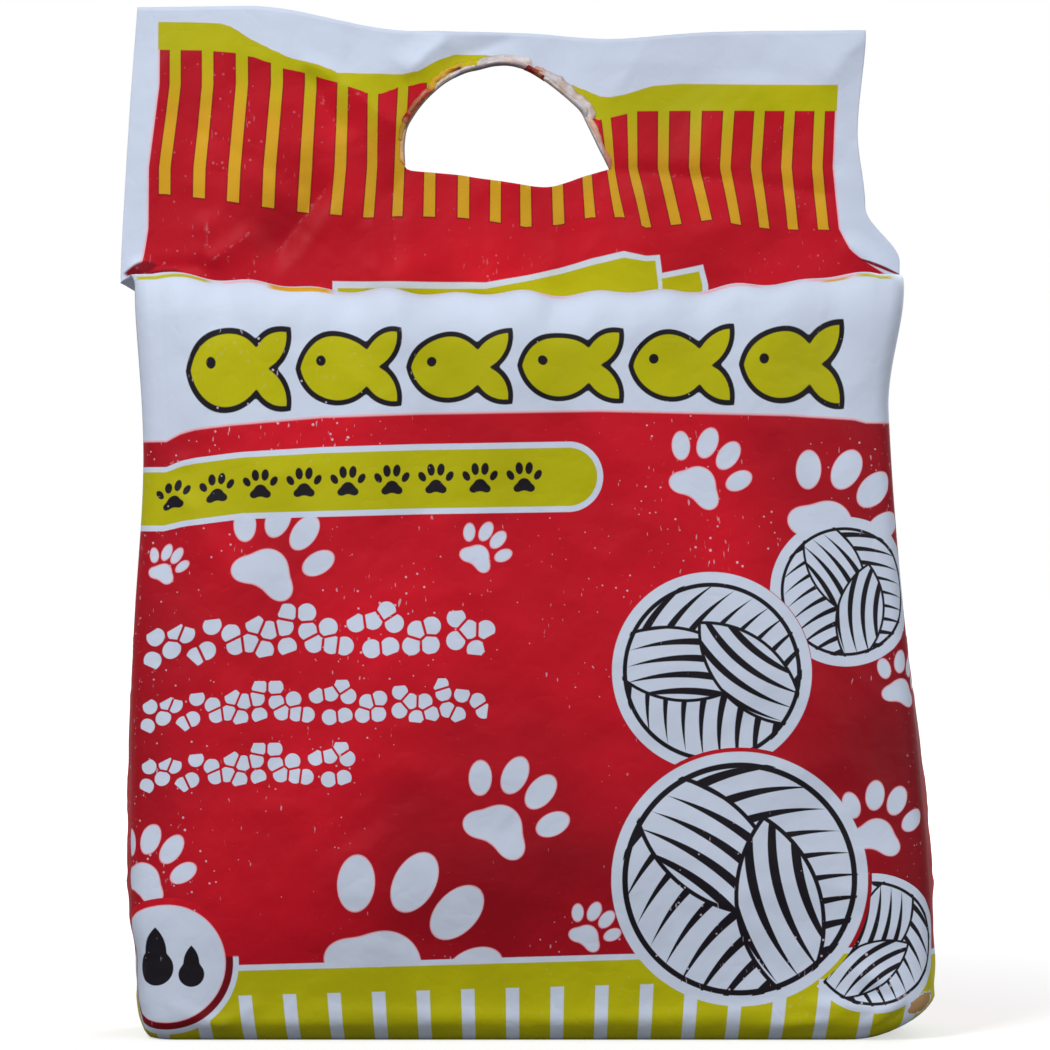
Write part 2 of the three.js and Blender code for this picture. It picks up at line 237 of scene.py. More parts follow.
# %% Half a ring
FRONT_STEPS, BACK_STEPS = 190, 96
SIDE_STEPS, CORNER_STEPS = 13, 4
WEIGHTS = ("left", "right", "radius", "gusset", "depth", "inner", "across", "side")
SWAP_SIDES = [1, 0, 2, 3, 4, 5, 6, 7]
FLIP_SIGNS = np.array([[1], [1], [-1], [-1], [1], [1], [-1], [1]])


def half_ring(panel_steps):
    side = np.linspace(0, 1, SIDE_STEPS, endpoint=False)
    turn = np.linspace(0, np.pi / 2, CORNER_STEPS, endpoint=False)
    flat = np.linspace(0, 1, panel_steps + 1)
    one, none = np.ones_like, np.zeros_like
    on_side = [one(side), none(side), none(side), 1 - side**2, side, side, -one(side), 1 - side]
    round_corner = [one(turn), none(turn), 1 - np.cos(turn), none(turn), one(turn)]
    round_corner += [1 - np.sin(turn), -one(turn), none(turn)]
    panel = [1 - flat, flat, 1 - 2 * flat, none(flat), one(flat), none(flat)]
    panel += [2 * flat - 1, none(flat)]
    start = np.hstack([np.stack(on_side), np.stack(round_corner)])
    end = start[SWAP_SIDES][:, ::-1] * FLIP_SIGNS
    return dict(zip(WEIGHTS, np.hstack([start, np.stack(panel), end])))


front_half, back_half = half_ring(FRONT_STEPS), half_ring(BACK_STEPS)
print("points of half a ring", len(front_half["left"]), "and", len(back_half["left"]))


# %% Points of a ring
def ring_points(half, facing, left, right, half_depth, radius, gusset):
    """x and y of a stack of half rings. facing is -1 for the front and 1 for the back."""
    x = left * half["left"] + right * half["right"]
    x = x + radius * half["radius"] + gusset * half["gusset"]
    return x, facing * (half_depth * half["depth"] - radius * half["inner"])


corner = ring_points(front_half, -1, -HALF_WIDTH, HALF_WIDTH, HALF_SIDE, CORNER_RADIUS, 0)
print("a plain ring reaches", [round(float(np.abs(axis).max()), 1) for axis in corner], "mm")


# %% [markdown]
# There are three kinds of ring: of the filled body, of the shoulder, where the panels turn
# over the fill while the gussets fold shut, and of the flat header.


# %% Body rings
def panel_relief(half, facing, x, height):
    across = half["across"]
    if facing > 0:
        return BACK_CROWN * (1 - across**2)
    return FRONT_CROWN * (1 - across**2) + front_relief(x, height, across)


def body_rows(half, facing, heights):
    height = heights[:, None]
    turned_under = 1 - ramp(0, BASE_EDGE_RADIUS, height)
    inset = BASE_INSET * (1 - np.sqrt(1 - turned_under**2))
    folded_in = GUSSET_FOLD * ease(GUSSET_START_HEIGHT, SHOULDER_HEIGHT, height)
    bulge = GUSSET_BULGE * (1 - ease(FILL_HEIGHT, GUSSET_START_HEIGHT, height))
    left = left_edge(height) + inset
    right = right_edge(height) - inset - dog_ear(height)
    x, y = ring_points(half, facing, left, right, HALF_SIDE - inset, CORNER_RADIUS, folded_in - bulge)
    spared = ease(0, HALF_SIDE, y) * np.maximum(0, half["across"])
    relief = panel_relief(half, facing, x, height) * ease(0, FILL_HEIGHT, height)
    relief = relief - FOOT_TUCK * (1 - ramp(0, FOOT_TUCK_HEIGHT, height)) * half["depth"]
    x = x - GUSSET_LINE * half["across"] * half["side"] ** 9
    climb = ease(RIGHT_WAIST_HEIGHT - FILL_HEIGHT, BODY_TOP, height)
    z = height + ridge_climb(half["across"]) * climb * (1 - half["side"])
    x = x + (1 - DOG_EAR_BACK_SHARE) * dog_ear(height) * spared
    return x, y + facing * relief, z


foremost = body_rows(front_half, -1, np.linspace(0, BODY_TOP, 9))[1].min()
print("the front bulges to", round(float(foremost), 1), "mm")


# %% Shoulder rings
SHOULDER_PATH = np.array([
    (1, -SHOULDER_DEPTH), (0.98, -0.45 * SHOULDER_DEPTH), (0.86, -0.1 * SHOULDER_DEPTH),
    (0.62, 0), (0.3, -0.5 * VALLEY_DROP), (0, -VALLEY_DROP),
])
CREST_SHARE = 0.6
GATHER_START, SLACK_RADIUS, FOLD_SPREAD, SIDE_SAG = 0.35, 0.6, 1.15, 0.4


def along(line, shares):
    """Points of the smooth curve through the points of a line, a Catmull-Rom spline."""
    last = len(line) - 1
    at = np.minimum(shares * last, last - 1e-9)
    part = at.astype(int)
    t = (at - part)[:, None]
    before, first, second, after = (line[np.clip(part + k, 0, last)] for k in (-1, 0, 1, 2))
    pull_in, pull_out = (second - before) / 2, (after - first) / 2
    cubic = (2 * first - 2 * second + pull_in + pull_out) * t**3
    square = (-3 * first + 3 * second - 2 * pull_in - pull_out) * t**2
    return cubic + square + pull_in * t + first


def shoulder_rows(half, facing, shares):
    over, drop = along(SHOULDER_PATH, shares).T[..., None]
    share = shares[:, None]
    height = SHOULDER_HEIGHT + drop
    gathered = ease(GATHER_START, 1, share)
    half_depth = mix(HALF_HEADER, HALF_SIDE, over)
    left = mix(left_edge(height), header_left(0), gathered)
    right = mix(right_edge(height), header_right(0), gathered)
    folded_in = GUSSET_FOLD * ease(GUSSET_START_HEIGHT, SHOULDER_HEIGHT, BODY_TOP) * (1 - gathered)
    radius = np.minimum(CORNER_RADIUS, SLACK_RADIUS * half_depth)
    x, y = ring_points(half, facing, left, right, half_depth, radius, folded_in)
    open_side = half["side"] * (1 - gathered)
    fold = ridge_fold(half["across"]) * np.sin(np.pi * np.clip(FOLD_SPREAD * share, 0, 1)) ** 2
    shallow = (VALLEY_DROP - valley_drop(half["across"])) * (1 - over)
    lift = (ridge_climb(half["across"]) + shallow) * (1 - open_side) + fold
    lift = lift - SIDE_SAG * open_side * (height - BODY_TOP)
    relief = panel_relief(half, facing, x, height) * over
    middle = mix(header_middle(x, -VALLEY_DROP), 0, over)
    return x, middle + y + facing * (relief + fold / 2), height + lift


print("path over the shoulder", along(SHOULDER_PATH, np.linspace(0, 1, 3)).round(1).tolist())


# %% Header rings
def header_rows(half, facing, shares):
    rise = shares[:, None] * HEADER_RISE
    left, right = header_left(rise), header_right(rise)
    x, y = ring_points(half, facing, left, right, HALF_HEADER, SLACK_RADIUS * HALF_HEADER, 0)
    foot = SHOULDER_HEIGHT + ridge_climb(half["across"]) - valley_drop(half["across"])
    z = mix(foot, top_edge(half["across"]), shares[:, None])
    return x, header_middle(x, z - SHOULDER_HEIGHT) + y, z


print("the header is", round(float(header_right(0) - header_left(0)), 1), "mm wide at its foot")


# %% All rows of one half
BODY_ROWS, SHOULDER_ROWS, HEADER_ROWS = 148, 32, 70
BASE_SHARES = np.array([0, 0.12, 0.3, 0.6, 1])


def skin_half(half, facing):
    """x, y and z of the whole front or back, a row for each ring."""
    lower = BASE_SHARES * BASE_EDGE_RADIUS
    upper = np.linspace(BASE_EDGE_RADIUS, BODY_TOP, BODY_ROWS + 1)[1:]
    parts = [
        body_rows(half, facing, np.concatenate([lower, upper])),
        shoulder_rows(half, facing, np.linspace(0, 1, SHOULDER_ROWS + 1)[1:]),
        header_rows(half, facing, np.linspace(0, 1, HEADER_ROWS + 1)[1:]),
    ]
    return np.stack([np.vstack(axis) for axis in zip(*parts)])


front, back = skin_half(front_half, -1), skin_half(back_half, 1)
BODY_COUNT = len(BASE_SHARES) + BODY_ROWS
CREST_ROW = BODY_COUNT - 1 + round(CREST_SHARE * SHOULDER_ROWS)
HEADER_START = BODY_COUNT + SHOULDER_ROWS
low_corner = np.minimum(front.min((1, 2)), back.min((1, 2)))
high_corner = np.maximum(front.max((1, 2)), back.max((1, 2)))
SHIFT = -(low_corner + high_corner) / 2
SHIFT[2] = 0
print("rows", front.shape[1], "columns", front.shape[2], back.shape[2], "shift", SHIFT.round(2))

# %% [markdown]
# A print is laid out on flat paper, before the sack is filled. So each point of the skin gets
# print coordinates in millimetres: u across and v up the flat sheet. On the body v follows the
# height, but the filled shoulder has pulled the print down along both upright edges. In the
# header, folds have moved the print too, and its stripes show by how much.

# %% Print heights on the flat sheet
V_CAPSULE, V_WHITE_FOOT, V_CREST, V_RED_FOOT = 201.0, 224.2, SHOULDER_HEIGHT, 300.0
V_TIPS, V_BAND_FOOT, V_BAND_TOP, V_TOP = 320.0, 363.5, 372.5, 389.0
# Each line is x, y, x, y and so on, in pixels: the border of a print as it is seen.
WHITE_FOOT_LINE = (146, 448, 165, 440, 180, 432, 195, 428, 228, 424, 323, 416, 419, 413, 600, 410,
                   787, 414, 855, 418, 889, 427)
CAPSULE_LINE = (146, 502, 183, 493, 242, 485, 420, 480, 600, 477, 890, 482)


def piecewise(height, places, values):
    """Straight-line interpolation where each column has its own places."""
    result = values[0] + (height - places[0]) * (values[1] - values[0]) / (places[1] - places[0])
    for k in range(1, len(places) - 1):
        slope = (values[k + 1] - values[k]) / (places[k + 1] - places[k])
        result = np.where(height > places[k], values[k] + (height - places[k]) * slope, result)
    return result


def line_height(x, points, depth=PANEL_PLACE):
    across, up = track(points, depth)
    return np.interp(x, across, up)


def print_height(x, z, crest):
    places = (0 * x, line_height(x, CAPSULE_LINE), line_height(x, WHITE_FOOT_LINE), crest)
    return piecewise(z, places, (0, V_CAPSULE, V_WHITE_FOOT, V_CREST))


print("the banner's middle is", round(float(line_height(0, CAPSULE_LINE)), 1), "mm up, at x = 0")

# %% Borders of the prints in the header
TOP_LINE = (137, 8, 240, 8, 300, 12, 350, 22, 400, 31, 500, 33, 620, 40, 690, 30, 866, 33)
BAND_TOP_LINE = (156, 22, 224, 25, 235, 30, 250, 41, 273, 53, 292, 62, 319, 68, 338, 76.5, 403, 77,
                 418, 74.6, 437, 63, 456, 55.5, 487, 55.5, 575, 88, 600, 98.5, 610, 99.5, 625, 96.6,
                 652, 88, 680, 86, 765, 88, 838, 88.4)
BAND_FOOT_LINE = (155, 50, 202, 51, 237, 54, 262, 60, 284, 69, 317, 76.5, 338, 83, 367, 94, 380, 95,
                  398, 88, 426, 83, 583, 103, 596, 120.5, 609, 118, 637, 111, 680, 111, 836, 112)
TIP_LINE = (164, 194, 199, 198, 232, 202, 268, 207.6, 302, 212, 335, 215, 368, 218, 397, 216.5,
            429, 217, 464, 218, 495, 222, 526, 227, 559, 225, 591, 217, 623, 217, 646, 228, 678, 224.5,
            711, 220, 739, 225, 768, 229, 798, 230, 830, 230.5)
FOOT_LINE = (131, 278, 175, 271, 243, 282, 304, 293, 330, 291, 482, 292, 603, 290, 653, 287,
             752, 283, 792, 277, 853, 272, 895, 278)
STRIPES_AT = (85, 168, 229, 250, 285)
STRIPE_COUNT, STRIPE_PITCH = 22, 11.2
STRIPE_MIDDLE = -10
STRIPES_ROOT = (175.5, 208, 242.4, 277.8, 311.3, 343.8, 373.5, 403.7, 432, 460.4, 488.7, 517, 545.3,
                573.7, 602, 631.5, 664, 697, 730.5, 761, 790.6, 820)
STRIPES_KINK = (165, 200, 235, 270, 306.5, 341, 373, 399.3, 429.7, 464, 496, 525, 557, 587, 611, 632,
                663, 694, 725, 755.6, 786, 816.6)
STRIPES_TIP = (164.4, 198.8, 231.9, 267.7, 302, 335, 368.3, 396.5, 429, 463.6, 495.4, 525.8, 559,
               591.4, 623, 646, 677, 708.5, 736.5, 764, 792.5, 822.5)
STRIPES_KNEE = tuple(np.linspace(161.4, 833, STRIPE_COUNT))
STRIPE_SHARES = np.linspace(0, 1, STRIPE_COUNT)
STRIPES_FOOT = tuple(STRIPES_KNEE + 50 * STRIPE_SHARES**8 - 6 * (1 - STRIPE_SHARES) ** 8)
PAST_END, FOOT_PIXEL = 9, 276
print("stripes", STRIPE_COUNT, "at", STRIPE_PITCH, "mm")


# %% Print coordinates in the header
def stripe_place(x, stripes):
    """Which stripe lies at x, as a number with a fraction, also past the outer stripes."""
    across, _ = seen(np.array(stripes), 0, HEADER_PLACE)
    pitch = (across[-1] - across[0]) / (STRIPE_COUNT - 1)
    beyond = PAST_END * pitch
    across = np.concatenate([[across[0] - beyond], across, [across[-1] + beyond]])
    index = np.concatenate([[-PAST_END], np.arange(STRIPE_COUNT), [STRIPE_COUNT - 1 + PAST_END]])
    return np.interp(x, across, index)


def header_print(x, z):
    """u and v of a place in the header."""
    lines = (FOOT_LINE, TIP_LINE, BAND_FOOT_LINE, BAND_TOP_LINE, TOP_LINE)
    places = [line_height(x, points, HEADER_PLACE) for points in lines]
    v = piecewise(z, places, (V_RED_FOOT, V_TIPS, V_BAND_FOOT, V_BAND_TOP, V_TOP))
    v = np.where(z < places[0], V_RED_FOOT + z - places[0], v)
    _, levels = seen(0, np.array(STRIPES_AT)[::-1], HEADER_PLACE)
    rows = (STRIPES_FOOT, STRIPES_KNEE, STRIPES_TIP, STRIPES_KINK, STRIPES_ROOT)
    found = [stripe_place(x, stripes) for stripes in rows]
    index = piecewise(np.clip(z, levels[0], levels[-1]), levels, found)
    return STRIPE_MIDDLE + STRIPE_PITCH * (index - (STRIPE_COUNT - 1) / 2), v


def header_place(px, py=FOOT_PIXEL):
    """u and v on the flat sheet of a pixel that shows the header."""
    x, z = seen(px, py, HEADER_PLACE)
    u, v = header_print(np.array([x]), np.array([z]))
    return float(u[0]), float(v[0])


middle_foot = header_place(PIXEL_MIDDLE[0])
print("the middle of the header's foot is printed at", [round(c, 1) for c in middle_foot])


# %% Print coordinates of the whole front and back
def around_sides(half, x, y):
    """u on the body: x on the panel, and from there on round the corners the length of paper."""
    panel = np.flatnonzero((half["side"] == 0) & (half["depth"] == 1) & (half["inner"] == 0))
    steps = np.hypot(np.diff(x, axis=1), np.diff(y, axis=1))
    length = np.hstack([0 * x[:, :1], np.cumsum(steps, axis=1)])
    first, last = panel[0], panel[-1]
    u = x.copy()
    u[:, :first] = x[:, [first]] - (length[:, [first]] - length[:, :first])
    u[:, last:] = x[:, [last]] + length[:, last:] - length[:, [last]]
    return u, np.clip(np.arange(x.shape[1]), first, last)


def side_height(half, v, z):
    """v with both sides led over to the plain height, which front and back share at the crease."""
    ends = np.where(half["across"] < 0, z[:, :1], z[:, -1:])
    return mix(v, np.minimum(ends, V_CREST), half["side"])


def front_print(rows):
    x, y, z = rows
    u, panel_column = around_sides(front_half, x, y)
    v = side_height(front_half, print_height(x, z, z[CREST_ROW])[:, panel_column], z)
    head = slice(HEADER_START, None)
    u[head], v[head] = header_print(x[head], z[head])
    beyond = np.linspace(0, 1, HEADER_START - CREST_ROW + 1)[:, None]
    v[CREST_ROW : HEADER_START + 1] = mix(V_CREST, v[HEADER_START], beyond)
    u[CREST_ROW : HEADER_START + 1] = mix(u[CREST_ROW], u[HEADER_START], beyond)
    return u, v


HEADER_LIFT_BACK = 32


def back_print(rows):
    x, y, z = rows
    u, panel_column = around_sides(back_half, x, y)
    v = side_height(back_half, np.minimum(z, V_CREST)[:, panel_column], z)
    v[HEADER_START:] = z[HEADER_START:] + HEADER_LIFT_BACK
    beyond = np.linspace(0, 1, HEADER_START - CREST_ROW + 1)[:, None]
    v[CREST_ROW : HEADER_START + 1] = mix(V_CREST, v[HEADER_START], beyond)
    return -u, v


front_uv, back_uv = front_print(front), back_print(back)
print("print u", front_uv[0].min().round(), front_uv[0].max().round(), "v", front_uv[1].max().round())

# %% [markdown]
# A crease is a line along which the paper stands up a little, like a tent: steep on one side
# and often flatter on the other. Creases seen in the photograph are given by their two ends,
# in its pixels. Many faint ones, placed by a seeded random generator, make the paper look handled.


# %% Creases
SHARP_RISE, WORN_REACH = 1.2, 1.8
FADE_IN, FADE_OUT = (-0.12, 0.25), (0.75, 1.12)


def crease(x, z, start, end, rise, reach, lean=1.0):
    """Height of one crease over the paper. lean widens its right side."""
    along = np.subtract(end, start)
    length = np.hypot(*along)
    ux, uz = along / length
    t = ((x - start[0]) * ux + (z - start[1]) * uz) / length
    off = (x - start[0]) * uz - (z - start[1]) * ux
    width = np.where(off > 0, reach * lean, reach)
    tent = np.clip(1 - np.abs(off) / width, 0, 1) ** 1.5
    return rise * tent * ease(*FADE_IN, t) * (1 - ease(*FADE_OUT, t))


def creased(x, z, creases, depth):
    """Sum of creases given in pixels, and a mask of how sharply the paper is folded there."""
    height, worn = 0 * x, 0 * x
    for x0, y0, x1, y1, rise, reach, lean in creases:
        start, end = (np.array(seen(*place, depth)) for place in ((x0, y0), (x1, y1)))
        height = height + crease(x, z, start, end, rise, reach, lean)
        sharpness = min(1, abs(rise) / SHARP_RISE)
        worn = worn + np.abs(crease(x, z, start, end, 1, WORN_REACH)) * sharpness
    return height, np.clip(worn, 0, 1)


LENGTHS, REACHES, LEANS = (40, 170), (0.5, 1.5), (0.6, 2.2)


def faint_creases(seed, count, box, rise, reach):
    """Random creases inside box (pixels), in the same form as those listed."""
    rng = np.random.default_rng(seed)
    x0, y0, x1, y1 = box
    for _ in range(count):
        x, y = rng.uniform(x0, x1), rng.uniform(y0, y1)
        turn, length = rng.uniform(0, np.pi), rng.uniform(*LENGTHS)
        strength = rng.uniform(-1, 1) * rise
        end = (x + length * np.cos(turn), y + length * np.sin(turn))
        yield (x, y, *end, strength, reach * rng.uniform(*REACHES), rng.uniform(*LEANS))


print("a crease fades in over", FADE_IN, "and out over", FADE_OUT, "of its length")


# %% [markdown]
# Handled paper is crumpled: soft hollows meet in sharp ridges. The absolute value of a smooth
# noise has just that form. The noise is written out here, and not taken from Blender, so that it
# moves the points themselves and is the same in every run.

# %% Crumpled paper
NOISE_GRID = 64
HILLS = (34, 15, 7)
HILL_SHARES = (1, 0.4, 0.14)


def paper_noise(x, z, cell, seed):
    """Smooth noise from -1 to 1 over the flat sheet, with hills about a cell wide."""
    grid = np.random.default_rng(seed).uniform(-1, 1, (NOISE_GRID, NOISE_GRID))
    at_x, at_z = x / cell, z / cell
    i, j = np.floor(at_x).astype(int), np.floor(at_z).astype(int)
    s, t = ease(0, 1, at_x - i), ease(0, 1, at_z - j)
    pick = lambda di, dj: grid[(i + di) % NOISE_GRID, (j + dj) % NOISE_GRID]
    return mix(mix(pick(0, 0), pick(1, 0), s), mix(pick(0, 1), pick(1, 1), s), t)


def crumple(x, z, depth, seed):
    """Soft hollows that meet in sharp ridges, at three sizes."""
    turned_x, turned_z = 0.8 * x + 0.6 * z, 0.8 * z - 0.6 * x
    places = ((turned_x, turned_z), (x, z), (turned_z, x))
    height = 0
    for k, (place, cell, share) in enumerate(zip(places, HILLS, HILL_SHARES)):
        height = height + share * depth * (1 - np.abs(paper_noise(*place, cell, seed + k)))
    return height


print("hills of", HILLS, "mm")


# %% Where the photograph shows creases
# Both ends in pixels, then the rise and the reach in mm, and the lean
HEADER_CREASES = (
    (332, 180, 268, 264, -2.6, 8, 3.2), (206, 266, 208, 214, 1.3, 6, 1.6),
    (206, 266, 258, 228, 1.4, 6, 1.4), (150, 268, 206, 266, -0.8, 5, 1),
    (405, 76, 452, 34, 2.0, 9, 1.0), (452, 60, 520, 36, -1.4, 8, 1.2),
    (866, 30, 826, 84, 0.8, 9, 1.4), (612, 170, 740, 182, -1.0, 6, 1.2),
    (740, 182, 836, 196, -0.7, 6, 1.2), (610, 100, 650, 40, 0.5, 8, 1.2),
    (300, 62, 345, 140, -1.3, 8, 1.4), (338, 78, 400, 130, 1.6, 8, 1.5),
    (300, 62, 338, 78, 1.2, 6, 1.0), (393, 175, 396, 276, -1.2, 7, 1.2),
    (480, 192, 484, 284, -0.9, 8, 1.4), (560, 196, 552, 282, 0.9, 9, 1.3),
    (650, 182, 640, 262, 0.8, 10, 1.2), (700, 100, 716, 268, 0.7, 12, 1.2),
    (158, 60, 152, 220, 0.8, 8, 2.0), (240, 60, 262, 170, -0.7, 10, 1.5),
    (780, 110, 800, 260, -0.7, 11, 1.3), (845, 240, 886, 276, 1.4, 6, 1.4),
    (134, 262, 152, 280, 1.5, 5, 1.0), (596, 122, 606, 168, 1.2, 4, 2.0),
)
FRONT_CREASES = (
    (893, 288, 878, 335, 1.3, 5, 1.2), (878, 335, 881, 372, 1.3, 5, 1.2),
    (881, 372, 876, 402, 1.2, 5, 1.2), (876, 402, 890, 424, 1.2, 5, 1.0),
    (140, 330, 158, 372, -1.0, 6, 1.4), (147, 470, 196, 458, 1.1, 5, 1.0),
    (147, 472, 200, 512, 0.9, 5, 1.2), (147, 478, 168, 560, -0.8, 6, 1.2),
    (150, 1000, 236, 1036, 1.0, 5, 1.4), (196, 1040, 262, 1004, 0.9, 5, 1.0),
    (800, 1006, 926, 1012, 1.5, 5, 1.2), (850, 968, 928, 1006, 1.3, 6, 1.2),
    (866, 1036, 924, 988, 1.6, 5, 1.0), (890, 940, 932, 984, -1.2, 6, 1.2),
    (760, 1036, 850, 1016, 0.9, 5, 1.2), (300, 1012, 560, 1020, 0.7, 5, 1.2),
    (560, 1020, 790, 1014, 0.7, 5, 1.0), (178, 296, 186, 356, 0.8, 7, 1.4),
    (304, 300, 296, 352, -0.9, 7, 1.2), (396, 300, 402, 344, 0.8, 6, 1.2),
    (640, 296, 632, 348, 0.8, 7, 1.2), (740, 290, 752, 356, -0.9, 8, 1.2),
    (826, 286, 816, 366, 0.9, 7, 1.4), (556, 296, 548, 332, -0.7, 6, 1.0),
    (872, 1020, 902, 1000, 1.0, 3, 1.2), (884, 1030, 912, 1010, -1.1, 3, 1.2),
    (896, 998, 920, 1014, 0.9, 3, 1.0), (862, 1002, 884, 990, -0.9, 4, 1.2),
    (890, 470, 906, 640, 0.7, 8, 1.4), (150, 600, 160, 760, 0.7, 8, 1.4),
    (898, 700, 916, 860, -0.8, 8, 1.2),
)
print("creases of the header", len(HEADER_CREASES), "and the front", len(FRONT_CREASES))

# %% Faint creases
FRONT_BOX, HEADER_BOX, SIDE_BOX = (150, 300, 900, 1030), (140, 20, 860, 270), (430, 300, 620, 1030)
faint_front = list(faint_creases(5, 90, FRONT_BOX, 0.42, 7))
faint_header = list(faint_creases(11, 46, HEADER_BOX, 0.55, 6))
faint_back = list(faint_creases(23, 110, FRONT_BOX, 0.6, 8))
faint_side = list(faint_creases(31, 60, SIDE_BOX, 0.9, 6))
print("faint ones", len(faint_front), len(faint_header), len(faint_back), len(faint_side))

# %% [markdown]
# The header is one thin sheet, so its creases move the front and the back alike. On the body
# only the outer paper moves, outwards from the fill.


# %% Folding the skin
FRONT_CRUMPLE, BACK_CRUMPLE, HEADER_CRUMPLE = 1.0, 1.3, 1.2
HEADER_CREASE_DEPTH = 1.5
HEADER_SEED, BODY_SEED, SIDE_SEED = 41, 51, 61


def header_relief(x, z):
    """How far folds push the header forward, and how sharply it is folded."""
    sharp, worn = creased(x, z, HEADER_CREASES, HEADER_PLACE)
    faint, _ = creased(x, z, faint_header, HEADER_PLACE)
    return HEADER_CREASE_DEPTH * sharp + faint + crumple(x, z, HEADER_CRUMPLE, HEADER_SEED), worn


def fold_header(rows):
    x, y, z = rows
    head = slice(CREST_ROW, None)
    relief, worn = header_relief(x[head], z[head])
    grown = ease(0, 1, np.linspace(0, 1, HEADER_START - CREST_ROW + 1))
    share = np.concatenate([grown, np.ones(len(relief) - len(grown))])[:, None]
    y[head] -= relief * share
    return worn * share


def fold_body(rows, half, facing, creases, faint):
    x, y, z = rows
    body = slice(0, HEADER_START)
    bx, bz = (x[body] if facing < 0 else -x[body]), z[body]
    sharp, worn = creased(bx, bz, creases, PANEL_PLACE)
    light, _ = creased(bx, bz, faint, PANEL_PLACE)
    depth = FRONT_CRUMPLE if facing < 0 else BACK_CRUMPLE
    light = light + crumple(bx, bz, depth, BODY_SEED + facing)
    free = 1 - half["across"] ** 30
    fade = ease(1.5, 8, bz) * (1 - ease(CREST_ROW, HEADER_START, np.arange(HEADER_START)))[:, None]
    y[body] += facing * (sharp + light) * free * fade
    side, _ = creased(y[body], bz, faint_side, PANEL_PLACE)
    side = side + crumple(y[body], bz, BACK_CRUMPLE, SIDE_SEED)
    sideways = side * half["side"] * fade * np.sign(half["across"])
    x[body] += sideways * (1 - ease(GUSSET_START_HEIGHT, BODY_TOP, bz) * 0.5)
    return worn * fade


print("crumpled by", FRONT_CRUMPLE, "mm in front and", BACK_CRUMPLE, "mm behind")

# %% Folds and wear on both halves
CORNER_WEAR, RIDGE_WEAR, RIDGE_WEAR_ROWS = 0.45, 0.5, 2.5
wear = [np.zeros_like(front[0]), np.zeros_like(back[0])]
for rows, half, facing, worn in ((front, front_half, -1, wear[0]), (back, back_half, 1, wear[1])):
    given = FRONT_CREASES if facing < 0 else ()
    faint = faint_front if facing < 0 else faint_back
    worn[CREST_ROW:] += fold_header(rows)
    worn[:HEADER_START] += fold_body(rows, half, facing, given, faint)
    corner = bump(half["inner"], 0.35, 0.25) * (half["side"] == 0)
    worn[:HEADER_START] += CORNER_WEAR * corner
    worn += RIDGE_WEAR * bump(np.arange(len(worn)), CREST_ROW, RIDGE_WEAR_ROWS)[:, None]
    rows += SHIFT[:, None, None]
print("deepest point forward", front[1].min().round(2), "back", back[1].max().round(2))

# %% [markdown]
# Front and back share their first and last columns, the creases in the middle of the sides.
# The base and the top edge are each closed with one row of faces between front and back. The
# print is three fields on the front, one on the back, and each has a material of its own, so
# that a ray works out only the shapes that can be there.

# %% The skin as one closed mesh
levels, columns, back_columns = front.shape[1], front.shape[2], back.shape[2]


def around(half):
    """How far round half a ring each point lies: sides and corners by count, the panel by share."""
    outer = SIDE_STEPS + CORNER_STEPS
    panel = outer + 0.5 * (half["across"][outer:-outer] + 1) * FRONT_STEPS
    return np.concatenate([np.arange(outer), panel, panel[-1] + 1 + np.arange(outer)])


partner = np.interp(around(front_half), around(back_half), np.arange(back_columns))
partner = np.rint(partner).astype(int)


def strip(a, b):
    """Corner numbers of the faces between two rows of points."""
    return np.stack([a[:-1], a[1:], b[1:], b[:-1]], axis=1)


front_ids = np.arange(levels * columns).reshape(levels, columns)
back_ids = np.zeros((levels, back_columns), int)
back_ids[:, 0], back_ids[:, -1] = front_ids[:, 0], front_ids[:, -1]
inner = levels * (back_columns - 2)
back_ids[:, 1:-1] = levels * columns + np.arange(inner).reshape(levels, back_columns - 2)
points = [front.reshape(3, -1).T, back[:, :, 1:-1].reshape(3, -1).T]
front_faces = np.vstack([strip(front_ids[r], front_ids[r + 1]) for r in range(levels - 1)])
back_faces = np.vstack([strip(back_ids[r + 1], back_ids[r]) for r in range(levels - 1)])
print("faces of the front", len(front_faces), "and the back", len(back_faces))


# %% Closing the base and the top edge
def bridge(front_row, back_row):
    """Triangles and quads between a front row and a coarser back row that share their ends."""
    faces = []
    for k in range(len(front_row) - 1):
        ring = [front_row[k + 1], front_row[k], *back_row[partner[k] : partner[k + 1] + 1]]
        ring = list(dict.fromkeys(int(point) for point in ring))
        if len(ring) > 2:
            faces.append(ring)
    return faces


cap_faces = bridge(front_ids[0], back_ids[0])
top_faces = [face[::-1] for face in bridge(front_ids[-1], back_ids[-1])]
all_faces = front_faces.tolist() + back_faces.tolist() + cap_faces + top_faces
print("faces of the base", len(cap_faces), "and the top edge", len(top_faces))

# %% A material for each field of the print
MATERIAL_NAMES = ("front_print", "top_print", "header_print", "back_print", "base_paper", "cut_edge")
FRONT_SLOT, TOP_SLOT, HEADER_SLOT, BACK_SLOT, BASE_SLOT, EDGE_SLOT = range(len(MATERIAL_NAMES))
FIELD_MARGIN = 4
lowest_v = np.ravel(front_uv[1])[front_faces].min(axis=1)
front_slots = np.where(lowest_v > V_WHITE_FOOT - FIELD_MARGIN, TOP_SLOT, FRONT_SLOT)
front_slots = np.where(lowest_v > V_CREST - FIELD_MARGIN, HEADER_SLOT, front_slots)
slots = front_slots.tolist() + [BACK_SLOT] * len(back_faces)
slots += [BASE_SLOT] * len(cap_faces) + [EDGE_SLOT] * len(top_faces)

